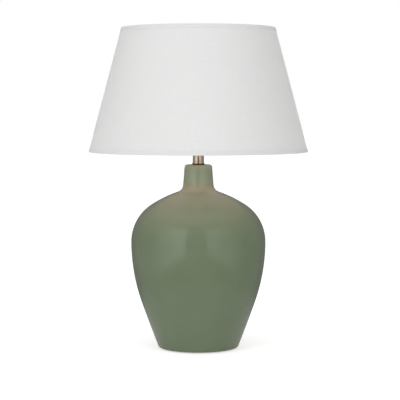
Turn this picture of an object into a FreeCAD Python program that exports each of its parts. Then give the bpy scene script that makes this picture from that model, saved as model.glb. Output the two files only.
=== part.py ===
"""Table lamp: hollow glazed jar on a felt foot, brass neck, screw lampholder, bulb and tapered shade.

Millimetres, +Z up, origin under the middle of the felt foot, front towards -Y.
"""
import FreeCAD, Part
import math
import os
import re

import Sketcher
from FreeCAD import Placement, Rotation, Vector

doc = FreeCAD.newDocument("ginger_jar_lamp")
sheet = doc.addObject("Spreadsheet::Sheet", "Sizes")

SIZES = {
    # felt foot
    "felt_radius": 62.0,
    "felt_thick": 1.5,
    # jar outside: where its arcs meet, with heights over the jar's own foot
    "foot_radius": 73.2,
    "wall_radius": 104.1,
    "wall_height": 83.7,
    "belly_radius": 122.8,
    "belly_height": 193.5,
    "shoulder_radius": 86.0,
    "shoulder_height": 261.2,
    "root_radius": 28.6,
    "root_height": 287.7,
    "lip_radius": 25.0,
    "jar_height": 334.5,
    "foot_rounding": 4.0,
    "root_rounding": 14.0,
    "lip_rounding": 4.5,
    # jar inside
    "jar_wall": 6.5,
    "neck_top_thick": 8.0,
    "neck_hole_radius": 6.5,
    "floor_thick": 7.0,
    "floor_rounding": 9.0,
    "recess_radius": 42.0,
    "recess_depth": 14.0,
    "base_hole_radius": 6.0,
    # cord inlet, low in the back of the jar
    "inlet_height": 33.0,
    "inlet_bore_radius": 3.5,
    "inlet_neck_radius": 6.0,
    "inlet_flange_radius": 9.0,
    "inlet_flange_thick": 2.4,
    "inlet_lip_radius": 7.4,
    "inlet_lip_thick": 1.8,
    "inlet_seat_depth": 0.946,
    "inlet_play": 0.2,
    "inlet_wall_room": 0.546,
    # centre tube and what clamps it under the jar
    "tube_radius": 5.0,
    "tube_bore_radius": 4.0,
    "tube_tail": 1.5,
    "washer_play": 0.2,
    "thread_play": 0.05,
    "cushion_radius": 21.0,
    "cushion_thick": 2.0,
    "cushion_spigot": 5.0,
    "steel_washer_radius": 20.0,
    "steel_washer_thick": 2.0,
    "spring_washer_radius": 9.0,
    "spring_washer_thick": 1.5,
    "nut_across_flats": 14.0,
    "nut_thick": 5.0,
    # neck
    "gasket_radius": 11.2,
    "gasket_thick": 1.8,
    "gasket_spigot": 4.0,
    "centring_height": 1.2,
    "centring_play": 0.1,
    "spacer_radius": 10.25,
    "spacer_bore_radius": 8.5,
    "spacer_height": 20.2,
    "collar_radius": 10.8,
    "collar_height": 2.6,
    "collar_groove_width": 0.6,
    "collar_groove_depth": 0.5,
    "top_washer_radius": 11.5,
    "top_washer_thick": 1.5,
    # lampholder
    "entry_radius": 12.0,
    "entry_height": 7.5,
    "entry_thread_depth": 8.0,
    "cap_radius": 20.0,
    "cap_cone_height": 8.0,
    "cap_height": 24.0,
    "cap_rounding": 3.0,
    "chamber_floor_radius": 9.0,
    "chamber_radius": 14.0,
    "chamber_cone_height": 5.0,
    "spigot_radius": 18.3,
    "spigot_height": 6.0,
    "spigot_play": 0.2,
    "grub_radius": 1.5,
    "grub_height": 3.8,
    "grub_sink": 0.5,
    "grub_key_radius": 0.75,
    "grub_key_depth": 1.5,
    "core_radius": 16.5,
    "core_thick": 12.0,
    "core_play": 0.1,
    "ledge_drop": 5.5,
    "terminal_offset": 9.0,
    "terminal_width": 6.0,
    "terminal_depth": 7.0,
    "terminal_height": 8.0,
    "terminal_sink": 3.0,
    "terminal_wire_radius": 1.3,
    "terminal_wire_depth": 5.0,
    "terminal_screw_radius": 1.25,
    "terminal_screw_length": 2.2,
    "terminal_screw_height": 3.0,
    "terminal_head_radius": 2.0,
    "terminal_head_thick": 1.6,
    "shell_radius": 13.9,
    "shell_thick": 0.45,
    "shell_height": 26.0,
    "shell_flange_width": 4.4,
    "rivet_offset": 11.5,
    "rivet_radius": 1.2,
    "rivet_depth": 4.0,
    "rivet_head_radius": 1.7,
    "rivet_head_thick": 0.7,
    "tongue_thick": 0.4,
    "tongue_width": 5.0,
    "tongue_foot_far": 8.5,
    "tongue_foot_near": 4.5,
    "tongue_top_near": 1.5,
    "tongue_top_far": 3.0,
    "tongue_nose": 5.0,
    "tongue_nose_drop": 1.2,
    "tongue_gap": 0.05,
    "skirt_radius": 19.7,
    "skirt_height": 37.5,
    "skirt_bore_radius": 15.2,
    "skirt_mouth_radius": 14.6,
    "skirt_lip_thick": 3.0,
    "skirt_rounding": 1.2,
    "flange_radius": 23.0,
    "flange_thick": 3.3,
    # shade ring
    "ring_gap": 0.3,
    "ring_play": 0.3,
    "ring_height": 8.0,
    "ring_hub_radius": 23.5,
    "ring_flange_radius": 28.5,
    "ring_flange_thick": 3.0,
    "ring_grip_radius": 2.0,
    "ring_grips": 12,
    # shade
    "shade_bottom_radius": 200.0,
    "shade_top_radius": 140.0,
    "shade_height": 225.0,
    "fabric_thick": 0.6,
    "liner_thick": 0.5,
    "hem_thick": 0.4,
    "hem_width": 7.0,
    "wire_diameter": 3.0,
    "wire_room": 0.2,
    "seam_width": 10.0,
    "seam_thick": 0.4,
    # fitter
    "fitter_lift": 27.8,
    "fitter_hole_radius": 20.75,
    "fitter_radius": 31.0,
    "fitter_thick": 1.2,
    "fitter_rim_height": 3.6,
    "fitter_rim_thick": 1.0,
    "arm_radius": 1.75,
    "arm_flat": 9.0,
    "arm_bend_radius": 14.0,
    "arm_notch_play": 0.5,
    "arm_weld_gap": 0.05,
    "arm_count": 3,
    # bulb, heights over its tip
    "tip_height": 4.6,
    "tip_radius": 4.8,
    "tip_face_radius": 3.5,
    "tip_thick": 1.2,
    "insulator_foot_radius": 6.5,
    "insulator_radius": 10.5,
    "insulator_thick": 2.6,
    "bulb_cap_foot_radius": 11.2,
    "bulb_cap_radius": 13.1,
    "bulb_cap_wall": 0.4,
    "bulb_cap_chamfer": 2.2,
    "bulb_cap_flange_radius": 8.0,
    "bulb_cap_height": 21.6,
    "housing_play": 0.1,
    "housing_wall": 1.6,
    "housing_neck_depth": 9.0,
    "housing_throat_radius": 13.6,
    "housing_flare_radius": 18.0,
    "housing_flare_height": 19.0,
    "housing_board_height": 37.0,
    "globe_radius": 30.0,
    "globe_height": 78.0,
    "globe_wall": 1.6,
    "globe_drop": 9.0,
    "board_thick": 1.6,
    "board_play": 0.3,
    "led_orbit": 15.0,
    "led_side": 2.8,
    "led_height": 0.7,
    "led_count": 10,
    "driver_height": 34.0,
    "driver_thick": 1.6,
}

for row, (alias, number) in enumerate(SIZES.items(), 1):
    sheet.set(f"A{row}", alias)
    sheet.set(f"B{row}", str(number))
    sheet.setAlias(f"B{row}", alias)
doc.recompute()

# Heights and radii that several pieces share, from the felt upwards.
RECESS_TOP = "(felt_thick + recess_depth)"
FLOOR_TOP = f"({RECESS_TOP} + floor_thick)"
STEEL_TOP = f"({RECESS_TOP} - cushion_thick)"
SPRING_TOP = f"({STEEL_TOP} - steel_washer_thick)"
NUT_TOP = f"({SPRING_TOP} - spring_washer_thick)"
NUT_FOOT = f"({NUT_TOP} - nut_thick)"
NECK_TOP = "(felt_thick + jar_height)"
SPACER_FOOT = f"({NECK_TOP} + gasket_thick)"
SPACER_TOP = f"({SPACER_FOOT} + spacer_height)"
CAP_FOOT = f"({SPACER_TOP} + top_washer_thick)"
CAP_TOP = f"({CAP_FOOT} + cap_height)"
LEDGE = f"({CAP_TOP} - ledge_drop)"
CORE_TOP = f"({LEDGE} + core_thick)"
FITTER_FOOT = f"({CAP_TOP} + flange_thick)"
FITTER_TOP = f"({FITTER_FOOT} + fitter_thick)"
RING_FOOT = f"({FITTER_TOP} + ring_gap)"
SHADE_FOOT = f"({FITTER_FOOT} - fitter_lift)"
TIP = f"({CORE_TOP} + tip_height)"
INSULATOR_FOOT = f"({TIP} + tip_thick)"
BULB_CAP_FOOT = f"({INSULATOR_FOOT} + insulator_thick)"
BULB_CAP_TOP = f"({BULB_CAP_FOOT} + bulb_cap_height)"
GLOBE_CENTRE = f"({TIP} + globe_height)"
GLOBE_FOOT = f"({GLOBE_CENTRE} - globe_drop)"
CLEAR_OF_TUBE = "(tube_radius + washer_play)"
CENTRING_RADIUS = "(spacer_bore_radius - centring_play)"
HOUSING_NECK = "(bulb_cap_radius - bulb_cap_wall - housing_play)"

pieces = {}


def value(expression):
    """What an expression in the sheet's aliases comes to."""
    result = sheet.evalExpression(expression)
    return float(getattr(result, "Value", result))


def named(expression):
    """The expression with each alias pointed at its cell."""
    return re.sub(r"[a-z_]+", lambda word: "Sizes." * (word.group() in SIZES) + word.group(), expression)


def bind(item, **properties):
    """Tie an object's properties to expressions; a double underscore stands for a dot."""
    for name, expression in properties.items():
        item.setExpression(name.replace("__", "."), named(expression))


def new_body(label):
    body = doc.addObject("PartDesign::Body", label)
    body.Label = label
    pieces[label] = body
    return body


def datum(body, role):
    return next(item for item in body.Origin.OriginFeatures if item.Role == role)


def new_sketch(body, role, name, **offsets):
    """A sketch on one of the body's own planes, moved by expressions where it has to be."""
    sketch = body.newObject("Sketcher::SketchObject", f"{body.Label}_{name}")
    sketch.AttachmentSupport = [(datum(body, role), "")]
    sketch.MapMode = "FlatFace"
    bind(sketch, **{"AttachmentOffset__" + key: text for key, text in offsets.items()})
    sketch.recompute()
    return sketch


def hold(sketch, geometry, point, direction, expression):
    """Hold one point of a sketch at its distance from the sketch's origin along X or Y."""
    distance = value(expression)
    if distance == 0:
        axis = -2 if direction == "X" else -1
        sketch.addConstraint(Sketcher.Constraint("PointOnObject", geometry, point, axis))
        return
    ends = (-1, 1, geometry, point) if distance > 0 else (geometry, point, -1, 1)
    constraint = sketch.addConstraint(Sketcher.Constraint("Distance" + direction, *ends, abs(distance)))
    size = expression if distance > 0 else f"-({expression})"
    sketch.setExpression(f"Constraints[{constraint}]", named(size))


def pin(sketch, geometry, point, across, up):
    """Hold one point of a sketch at both its distances."""
    hold(sketch, geometry, point, "X", across)
    hold(sketch, geometry, point, "Y", up)


def outline(sketch, corners):
    """A closed outline of straight runs through (across, up) corners."""
    first = sketch.GeometryCount
    places = [Vector(value(across), value(up), 0) for across, up in corners]
    for start, end in zip(places, places[1:] + places[:1]):
        sketch.addGeometry(Part.LineSegment(start, end), False)
    for index, (across, up) in enumerate(corners):
        before = first + (index - 1) % len(corners)
        sketch.addConstraint(Sketcher.Constraint("Coincident", before, 2, first + index, 1))
        pin(sketch, first + index, 1, across, up)


def round_spots(sketch, spots, radius):
    """Circles of one radius about (across, up) centres."""
    for across, up in spots:
        circle = sketch.addGeometry(
            Part.Circle(Vector(value(across), value(up), 0), Vector(0, 0, 1), value(radius)), False)
        pin(sketch, circle, 3, across, up)
        constraint = sketch.addConstraint(Sketcher.Constraint("Radius", circle, value(radius)))
        sketch.setExpression(f"Constraints[{constraint}]", named(radius))


def arc_chain(sketch, stations, heading, joined_to=None):
    """Arcs through stations, each tangent to the last, the first of them leaving along an upright heading.

    The first station is pinned, or joined to a point that is there already. Returns each arc's number with
    its near and its far point.
    """
    arcs = []
    places = [Vector(value(across), value(up), 0) for across, up in stations]
    for near_place, far_place, (across, up) in zip(places, places[1:], stations[1:]):
        chord = far_place - near_place
        left = Vector(-heading.y, heading.x, 0)
        reach = chord.Length ** 2 / (2 * chord.dot(left))
        centre = near_place + left * reach
        angles = [math.atan2(place.y - centre.y, place.x - centre.x) for place in (near_place, far_place)]
        near, far = (1, 2) if reach > 0 else (2, 1)
        circle = Part.Circle(centre, Vector(0, 0, 1), abs(reach))
        arc = sketch.addGeometry(Part.ArcOfCircle(circle, angles[near - 1], angles[far - 1]), False)
        pin(sketch, arc, far, across, up)
        if arcs:
            sketch.addConstraint(Sketcher.Constraint("Tangent", arcs[-1][0], arcs[-1][2], arc, near))
        else:
            hold(sketch, arc, 3, "Y", stations[0][1])
            if joined_to:
                sketch.addConstraint(Sketcher.Constraint("Coincident", *joined_to, arc, near))
            else:
                pin(sketch, arc, near, *stations[0])
        arcs.append((arc, near, far))
        heading = chord * (2 * heading.dot(chord) / chord.Length ** 2) - heading
    return arcs


def join_runs(sketch, start, corners, end):
    """Straight runs from one point of a sketch through corners to another point."""
    places = [sketch.getPoint(*start)] + [Vector(value(a), value(u), 0) for a, u in corners]
    places.append(sketch.getPoint(*end))
    first = sketch.GeometryCount
    for one, other in zip(places, places[1:]):
        sketch.addGeometry(Part.LineSegment(one, other), False)
    sketch.addConstraint(Sketcher.Constraint("Coincident", *start, first, 1))
    for index, (across, up) in enumerate(corners):
        sketch.addConstraint(Sketcher.Constraint("Coincident", first + index, 2, first + index + 1, 1))
        pin(sketch, first + index, 2, across, up)
    sketch.addConstraint(Sketcher.Constraint("Coincident", first + len(corners), 2, *end))


def turn(body, sketch, kind="Revolution", angle="360"):
    """Turn a sketch of half a section about the sketch's upright axis."""
    feature = body.newObject("PartDesign::" + kind, f"{sketch.Name}_turned")
    feature.Profile = (sketch, [""])
    feature.ReferenceAxis = (sketch, ["V_Axis"])
    bind(feature, Angle=angle)
    return feature


def turned(label, corners, angle="360"):
    """A piece turned from half a section with straight sides."""
    body = new_body(label)
    sketch = new_sketch(body, "XZ_Plane", "section")
    outline(sketch, corners)
    turn(body, sketch, angle=angle)
    return body


def cut_into(body, sketch, depth, along_normal):
    """Cut a sketch into its body to a depth, and make sure that the cut changed the solid."""
    doc.recompute()
    before = body.Tip.Shape.Volume
    pocket = body.newObject("PartDesign::Pocket", f"{sketch.Name}_cut")
    pocket.Profile = (sketch, [""])
    pocket.Reversed = along_normal
    bind(pocket, Length=depth)
    doc.recompute()
    if abs(pocket.Shape.Volume - before) < 1e-3:
        raise RuntimeError(f"{pocket.Name} cuts nothing")
    return pocket


def circular_edges(shape, radius, height):
    """Names of a turned shape's edges at one radius and height."""
    names = []
    for number, edge in enumerate(shape.Edges, 1):
        circle = edge.Curve
        if isinstance(circle, Part.Circle) and abs(circle.Radius - value(radius)) < 1e-3:
            if abs(circle.Center.z - value(height)) < 1e-3:
                names.append(f"Edge{number}")
    return names


def round_over(body, radius, rings):
    """Round a turned body's edges at the given (radius, height) rings."""
    doc.recompute()
    base = body.Tip
    names = [name for ring in rings for name in circular_edges(base.Shape, *ring)]
    fillet = body.newObject("PartDesign::Fillet", f"{base.Name}_rounded")
    fillet.Base = (base, names)
    bind(fillet, Radius=radius)
    return fillet


def repeat(body, feature, count):
    """Repeat a feature evenly about the upright axis."""
    pattern = body.newObject("PartDesign::PolarPattern", f"{feature.Name}_repeated")
    pattern.Originals = [feature]
    pattern.Axis = (datum(body, "Z_Axis"), [""])
    pattern.Angle = 360
    bind(pattern, Occurrences=count)
    body.Tip = pattern
    return pattern


# ---------------------------------------------------------------- foot

turned("base_felt", [("0", "0"), ("felt_radius", "0"), ("felt_radius", "felt_thick"), ("0", "felt_thick")])


# ---------------------------------------------------------------- jar

def over_foot(height):
    return f"(felt_thick + {height})"


UP, DOWN = Vector(0, 1, 0), Vector(0, -1, 0)
BELLY = ("belly_radius", over_foot("belly_height"))
SHOULDER = ("shoulder_radius", over_foot("shoulder_height"))
ROOT = ("root_radius", over_foot("root_height"))
WALL = ("wall_radius", over_foot("wall_height"))
WALL_SLOPE = "((wall_radius - foot_radius) / wall_height)"
INLET_LEAN = f"atan({WALL_SLOPE})"
WALL_BEND = f"({INLET_LEAN} - 2 * atan((belly_radius - wall_radius) / (belly_height - wall_height)))"
WALL_RUN = f"(wall_height / cos({INLET_LEAN}))"
INLET_SHARE = "(inlet_height / wall_height)"
INLET_BOW = f"({WALL_RUN} * tan({WALL_BEND}) * {INLET_SHARE} * (1 - {INLET_SHARE}))"
INLET_SINK = f"(inlet_seat_depth - {INLET_BOW})"
INLET_OUT = f"(foot_radius + {WALL_SLOPE} * inlet_height - {INLET_SINK} * cos({INLET_LEAN}))"
INLET_UP = f"({over_foot('inlet_height')} + {INLET_SINK} * sin({INLET_LEAN}))"
SEAT_TILT = {"Rotation__Angle": INLET_LEAN, "Base__y": INLET_UP, "Base__z": f"-{INLET_OUT}"}


def inlet_sketch(body, name, radius):
    """A round spot on the flat seat of the cord inlet, whose plane leans with the wall."""
    sketch = body.newObject("Sketcher::SketchObject", f"{body.Label}_{name}")
    sketch.AttachmentSupport = [(datum(body, "XZ_Plane"), "")]
    sketch.MapMode = "FlatFace"
    sketch.AttachmentOffset = Placement(Vector(), Rotation(Vector(-1, 0, 0), value(INLET_LEAN)))
    bind(sketch, **{"AttachmentOffset__" + key: text for key, text in SEAT_TILT.items()})
    sketch.recompute()
    round_spots(sketch, [("0", "0")], radius)
    return sketch


def inward(station, share_in, share_down):
    """The place inside a station of the outside, so many walls in and so many walls down."""
    radius, height = station
    return f"({radius} - jar_wall * {share_in})", f"({height} - jar_wall * {share_down})"


def draw_wall(sketch, belly, shoulder, root, wall, foot, lip):
    """Half a section of the jar: arcs up and down from the belly, then straight runs back to the foot."""
    upper = arc_chain(sketch, [belly, shoulder, root], UP)
    belly_point = upper[0][:2]
    lower = arc_chain(sketch, [belly, wall, foot], DOWN, joined_to=belly_point)
    join_runs(sketch, upper[-1][::2], [lip, ("0", lip[1]), ("0", foot[1])], lower[-1][::2])


def make_jar():
    """Slip-cast body: an even wall that follows the outside, closed at the neck and the floor."""
    body = new_body("jar_body")
    foot = ("foot_radius", "felt_thick")
    outside = new_sketch(body, "XZ_Plane", "outside")
    draw_wall(outside, BELLY, SHOULDER, ROOT, WALL, foot, ("lip_radius", NECK_TOP))
    turn(body, outside)
    round_over(body, "root_rounding", [ROOT])
    round_over(body, "lip_rounding", [("lip_radius", NECK_TOP)])
    round_over(body, "foot_rounding", [foot])

    floor_edge = (f"(foot_radius + {WALL_SLOPE} * ({FLOOR_TOP} - felt_thick) - jar_wall * 1.07)", FLOOR_TOP)
    ceiling_edge = ("(lip_radius - jar_wall)", f"({NECK_TOP} - neck_top_thick)")
    hollow = new_sketch(body, "XZ_Plane", "inside")
    draw_wall(hollow, inward(BELLY, 1, 0), inward(SHOULDER, 0.546, 0.837), inward(ROOT, 1, 0.758),
              inward(WALL, 0.944, -0.329), floor_edge, ceiling_edge)
    turn(body, hollow, kind="Groove")
    round_over(body, "floor_rounding", [floor_edge])

    recess = new_sketch(body, "XY_Plane", "recess", Base__z="felt_thick")
    round_spots(recess, [("0", "0")], "recess_radius")
    cut_into(body, recess, "recess_depth", along_normal=True)
    base_hole = new_sketch(body, "XY_Plane", "base_hole", Base__z=RECESS_TOP)
    round_spots(base_hole, [("0", "0")], "base_hole_radius")
    cut_into(body, base_hole, "floor_thick", along_normal=True)
    neck_hole = new_sketch(body, "XY_Plane", "neck_hole", Base__z=NECK_TOP)
    round_spots(neck_hole, [("0", "0")], "neck_hole_radius")
    cut_into(body, neck_hole, "neck_top_thick", along_normal=False)
    cut_into(body, inlet_sketch(body, "inlet_seat", "(inlet_flange_radius + inlet_play)"),
             "inlet_flange_thick", along_normal=False)
    cut_into(body, inlet_sketch(body, "inlet_hole", "(inlet_neck_radius + inlet_play)"),
             "(jar_wall * 2)", along_normal=True)
    return body


def make_grommet():
    """Rubber bush that lines the cord inlet and grips the wall between its flange and its lip."""
    grip = "(jar_wall - inlet_seat_depth + inlet_wall_room)"
    body = turned("cord_grommet", [
        ("inlet_bore_radius", "inlet_flange_thick"),
        ("inlet_bore_radius", f"-({grip} + inlet_lip_thick)"),
        ("inlet_neck_radius", f"-({grip} + inlet_lip_thick)"),
        ("inlet_lip_radius", f"-{grip}"),
        ("inlet_neck_radius", f"-{grip}"),
        ("inlet_neck_radius", "0"),
        ("inlet_flange_radius", "0"),
        ("inlet_flange_radius", "inlet_flange_thick / 2"),
        ("(inlet_flange_radius - inlet_flange_thick / 2)", "inlet_flange_thick"),
    ])
    body.Placement = Placement(Vector(), Rotation(Vector(-1, 0, 0), 90 + value(INLET_LEAN)))
    bind(body, Placement__Rotation__Angle=f"(90 deg + {INLET_LEAN})", Placement__Base__y=INLET_OUT,
         Placement__Base__z=INLET_UP)
    return body


make_jar()
make_grommet()


# ---------------------------------------------------------------- centre tube and its clamp

def washer(label, bore, radius, foot, top, angle="360"):
    return turned(label, [(bore, foot), (radius, foot), (radius, top), (bore, top)], angle)


washer("centre_tube", "tube_bore_radius", "tube_radius", f"({NUT_FOOT} - tube_tail)",
       f"({CAP_FOOT} + entry_thread_depth - tube_tail)")
turned("base_cushion_washer", [
    (CLEAR_OF_TUBE, STEEL_TOP),
    ("cushion_radius", STEEL_TOP),
    ("cushion_radius", RECESS_TOP),
    ("(base_hole_radius - washer_play)", RECESS_TOP),
    ("(base_hole_radius - washer_play)", f"({RECESS_TOP} + cushion_spigot)"),
    (CLEAR_OF_TUBE, f"({RECESS_TOP} + cushion_spigot)"),
])
washer("base_steel_washer", CLEAR_OF_TUBE, "steel_washer_radius", SPRING_TOP, STEEL_TOP)
washer("base_spring_washer", CLEAR_OF_TUBE, "spring_washer_radius", NUT_TOP, SPRING_TOP, angle="345")


def make_nut():
    """Thin hexagon nut on the tube's lower end."""
    blank = doc.addObject("Part::Prism", "nut_blank")
    blank.Polygon = 6
    bind(blank, Circumradius="(nut_across_flats / sqrt(3))", Height="nut_thick", Placement__Base__z=NUT_FOOT)
    bore = doc.addObject("Part::Cylinder", "nut_bore")
    bind(bore, Radius="(tube_radius + thread_play)", Height="nut_thick", Placement__Base__z=NUT_FOOT)
    nut = doc.addObject("Part::Cut", "base_hex_nut")
    nut.Base = blank
    nut.Tool = bore
    pieces["base_hex_nut"] = nut


make_nut()


# ---------------------------------------------------------------- neck

turned("neck_gasket", [
    (CLEAR_OF_TUBE, f"({NECK_TOP} - gasket_spigot)"),
    ("(neck_hole_radius - washer_play)", f"({NECK_TOP} - gasket_spigot)"),
    ("(neck_hole_radius - washer_play)", NECK_TOP),
    ("gasket_radius", NECK_TOP),
    ("gasket_radius", SPACER_FOOT),
    (CENTRING_RADIUS, SPACER_FOOT),
    (CENTRING_RADIUS, f"({SPACER_FOOT} + centring_height)"),
    (CLEAR_OF_TUBE, f"({SPACER_FOOT} + centring_height)"),
])
turned("neck_spacer", [
    ("spacer_bore_radius", SPACER_FOOT),
    ("collar_radius", SPACER_FOOT),
    ("collar_radius", f"({SPACER_FOOT} + collar_height)"),
    ("(spacer_radius - collar_groove_depth)", f"({SPACER_FOOT} + collar_height)"),
    ("(spacer_radius - collar_groove_depth)", f"({SPACER_FOOT} + collar_height + collar_groove_width)"),
    ("spacer_radius", f"({SPACER_FOOT} + collar_height + collar_groove_width)"),
    ("spacer_radius", SPACER_TOP),
    ("spacer_bore_radius", SPACER_TOP),
])
turned("neck_top_washer", [
    (CLEAR_OF_TUBE, f"({SPACER_TOP} - centring_height)"),
    (CENTRING_RADIUS, f"({SPACER_TOP} - centring_height)"),
    (CENTRING_RADIUS, SPACER_TOP),
    ("top_washer_radius", SPACER_TOP),
    ("top_washer_radius", CAP_FOOT),
    (CLEAR_OF_TUBE, CAP_FOOT),
])


# ---------------------------------------------------------------- lampholder

def make_holder_cap():
    """Lower half of the lampholder, tapped for the tube, with a ledge that carries the core."""
    bore = "(tube_radius + thread_play)"
    chamber_floor = f"({CAP_FOOT} + entry_thread_depth)"
    entry_top = ("entry_radius", f"({CAP_FOOT} + entry_height)")
    cone_top = f"({CAP_FOOT} + entry_height + cap_cone_height)"
    body = turned("holder_cap", [
        (bore, CAP_FOOT),
        ("entry_radius", CAP_FOOT),
        entry_top,
        ("cap_radius", cone_top),
        ("cap_radius", CAP_TOP),
        ("spigot_radius", CAP_TOP),
        ("spigot_radius", f"({CAP_TOP} + spigot_height)"),
        ("core_radius", f"({CAP_TOP} + spigot_height)"),
        ("core_radius", LEDGE),
        ("chamber_radius", LEDGE),
        ("chamber_radius", f"({chamber_floor} + chamber_cone_height)"),
        ("chamber_floor_radius", chamber_floor),
        (bore, chamber_floor),
    ])
    round_over(body, "cap_rounding", [entry_top, ("cap_radius", cone_top)])
    grub_hole = new_sketch(body, "XZ_Plane", "grub_hole")
    round_spots(grub_hole, [("0", f"({CAP_FOOT} + grub_height)")], "(grub_radius + thread_play)")
    cut_into(body, grub_hole, "(entry_radius + grub_radius)", along_normal=False)
    return body


def make_grub_screw():
    """Locking screw in the back of the cap's entry, which bears on the tube."""
    foot = "(tube_radius + thread_play)"
    body = new_body("holder_grub_screw")
    end = new_sketch(body, "XZ_Plane", "end", Base__z=f"-{foot}")
    round_spots(end, [("0", f"({CAP_FOOT} + grub_height)")], "grub_radius")
    pad = body.newObject("PartDesign::Pad", "holder_grub_screw_shank")
    pad.Profile = (end, [""])
    pad.Reversed = True
    bind(pad, Length=f"(entry_radius - grub_sink - {foot})")
    key = new_sketch(body, "XZ_Plane", "key", Base__z="-(entry_radius - grub_sink)")
    round_spots(key, [("0", f"({CAP_FOOT} + grub_height)")], "grub_key_radius")
    cut_into(body, key, "grub_key_depth", along_normal=True)
    return body


def box_corners(centre_across, centre_up, width, depth):
    """Corners of an upright rectangle about its centre."""
    signs = ((-1, -1), (1, -1), (1, 1), (-1, 1))
    return [(f"({centre_across} + {across} * ({width}) / 2)", f"({centre_up} + {up} * ({depth}) / 2)")
            for across, up in signs]


TERMINAL_SIDES = ("-terminal_offset", "terminal_offset")
TERMINAL_FOOT = f"({LEDGE} + terminal_sink - terminal_height)"
RIVET_SPOTS = (("0", "-rivet_offset"), ("0", "rivet_offset"))


def make_holder_core():
    """Insulating core: carries the terminals below and the screw shell on top."""
    body = turned("holder_core", [
        ("0", LEDGE),
        ("(core_radius - core_play)", LEDGE),
        ("(core_radius - core_play)", CORE_TOP),
        ("0", CORE_TOP),
    ])
    seats = new_sketch(body, "XY_Plane", "terminal_seats", Base__z=LEDGE)
    seat_width, seat_depth = "terminal_width + 2 * core_play", "terminal_depth + 2 * core_play"
    for side in TERMINAL_SIDES:
        outline(seats, box_corners(side, "0", seat_width, seat_depth))
    cut_into(body, seats, "terminal_sink", along_normal=True)
    rivet_holes = new_sketch(body, "XY_Plane", "rivet_holes", Base__z=CORE_TOP)
    round_spots(rivet_holes, RIVET_SPOTS, "(rivet_radius + thread_play)")
    cut_into(body, rivet_holes, "rivet_depth", along_normal=False)
    return body


def make_terminals():
    """Two brass blocks with a wire hole from below and a clamping screw hole from the front."""
    body = new_body("holder_terminals")
    foot = new_sketch(body, "XY_Plane", "foot", Base__z=TERMINAL_FOOT)
    for side in TERMINAL_SIDES:
        outline(foot, box_corners(side, "0", "terminal_width", "terminal_depth"))
    pad = body.newObject("PartDesign::Pad", "holder_terminals_blocks")
    pad.Profile = (foot, [""])
    bind(pad, Length="terminal_height")
    wires = new_sketch(body, "XY_Plane", "wire_holes", Base__z=TERMINAL_FOOT)
    round_spots(wires, [(side, "0") for side in TERMINAL_SIDES], "terminal_wire_radius")
    cut_into(body, wires, "terminal_wire_depth", along_normal=True)
    screws = new_sketch(body, "XZ_Plane", "screw_holes", Base__z="(terminal_depth / 2)")
    spots = [(side, f"({TERMINAL_FOOT} + terminal_screw_height)") for side in TERMINAL_SIDES]
    round_spots(screws, spots, "(terminal_screw_radius + thread_play)")
    cut_into(body, screws, "(terminal_depth / 2)", along_normal=False)
    return body


def make_terminal_screws():
    """The two cheese-head screws that clamp the wires."""
    body = new_body("holder_terminal_screws")
    spots = [(side, f"({TERMINAL_FOOT} + terminal_screw_height)") for side in TERMINAL_SIDES]
    for name, radius, length, along_normal in (
            ("heads", "terminal_head_radius", "terminal_head_thick", False),
            ("shanks", "terminal_screw_radius", "terminal_screw_length", True)):
        face = new_sketch(body, "XZ_Plane", name, Base__z="(terminal_depth / 2)")
        round_spots(face, spots, radius)
        pad = body.newObject("PartDesign::Pad", f"holder_terminal_screws_{name}_pad")
        pad.Profile = (face, [""])
        pad.Reversed = along_normal
        bind(pad, Length=length)
    return body


def make_rivets():
    """Two rivets that hold the screw shell down on the core."""
    body = new_body("holder_shell_rivets")
    flange_top = f"({CORE_TOP} + shell_thick)"
    for name, radius, level, length, downwards in (
            ("shanks", "rivet_radius", flange_top, "(rivet_depth + shell_thick)", True),
            ("heads", "rivet_head_radius", flange_top, "rivet_head_thick", False)):
        face = new_sketch(body, "XY_Plane", name, Base__z=level)
        round_spots(face, RIVET_SPOTS, radius)
        pad = body.newObject("PartDesign::Pad", f"holder_shell_rivets_{name}_pad")
        pad.Profile = (face, [""])
        pad.Reversed = downwards
        bind(pad, Length=length)
    return body


def make_screw_shell():
    """Sheet-brass shell that the bulb screws into, with a flange that lies on the core."""
    inside = "(shell_radius - shell_thick)"
    flange = "(shell_radius - shell_flange_width)"
    body = turned("holder_screw_shell", [
        (flange, CORE_TOP),
        ("shell_radius", CORE_TOP),
        ("shell_radius", f"({CORE_TOP} + shell_height)"),
        (inside, f"({CORE_TOP} + shell_height)"),
        (inside, f"({CORE_TOP} + shell_thick)"),
        (flange, f"({CORE_TOP} + shell_thick)"),
    ])
    holes = new_sketch(body, "XY_Plane", "rivet_holes", Base__z=CORE_TOP)
    round_spots(holes, RIVET_SPOTS, "(rivet_radius + thread_play)")
    cut_into(body, holes, "shell_thick", along_normal=True)
    return body


def make_centre_contact():
    """Bent spring tongue that the tip of the bulb presses on."""
    body = new_body("holder_centre_contact")
    top = f"({TIP} - tongue_gap)"
    section = new_sketch(body, "XZ_Plane", "section")
    outline(section, [
        ("-tongue_foot_far", CORE_TOP),
        ("-tongue_foot_near", CORE_TOP),
        ("-(tongue_top_near - tongue_thick)", f"({top} - tongue_thick)"),
        ("tongue_top_far", f"({top} - tongue_thick)"),
        ("tongue_nose", f"({top} - tongue_nose_drop - tongue_thick)"),
        ("tongue_nose", f"({top} - tongue_nose_drop)"),
        ("tongue_top_far", top),
        ("-tongue_top_near", top),
        ("-(tongue_foot_near + tongue_thick)", f"({CORE_TOP} + tongue_thick)"),
        ("-tongue_foot_far", f"({CORE_TOP} + tongue_thick)"),
    ])
    pad = body.newObject("PartDesign::Pad", "holder_centre_contact_strip")
    pad.Profile = (section, [""])
    pad.Midplane = True
    bind(pad, Length="tongue_width")
    return body


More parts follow.
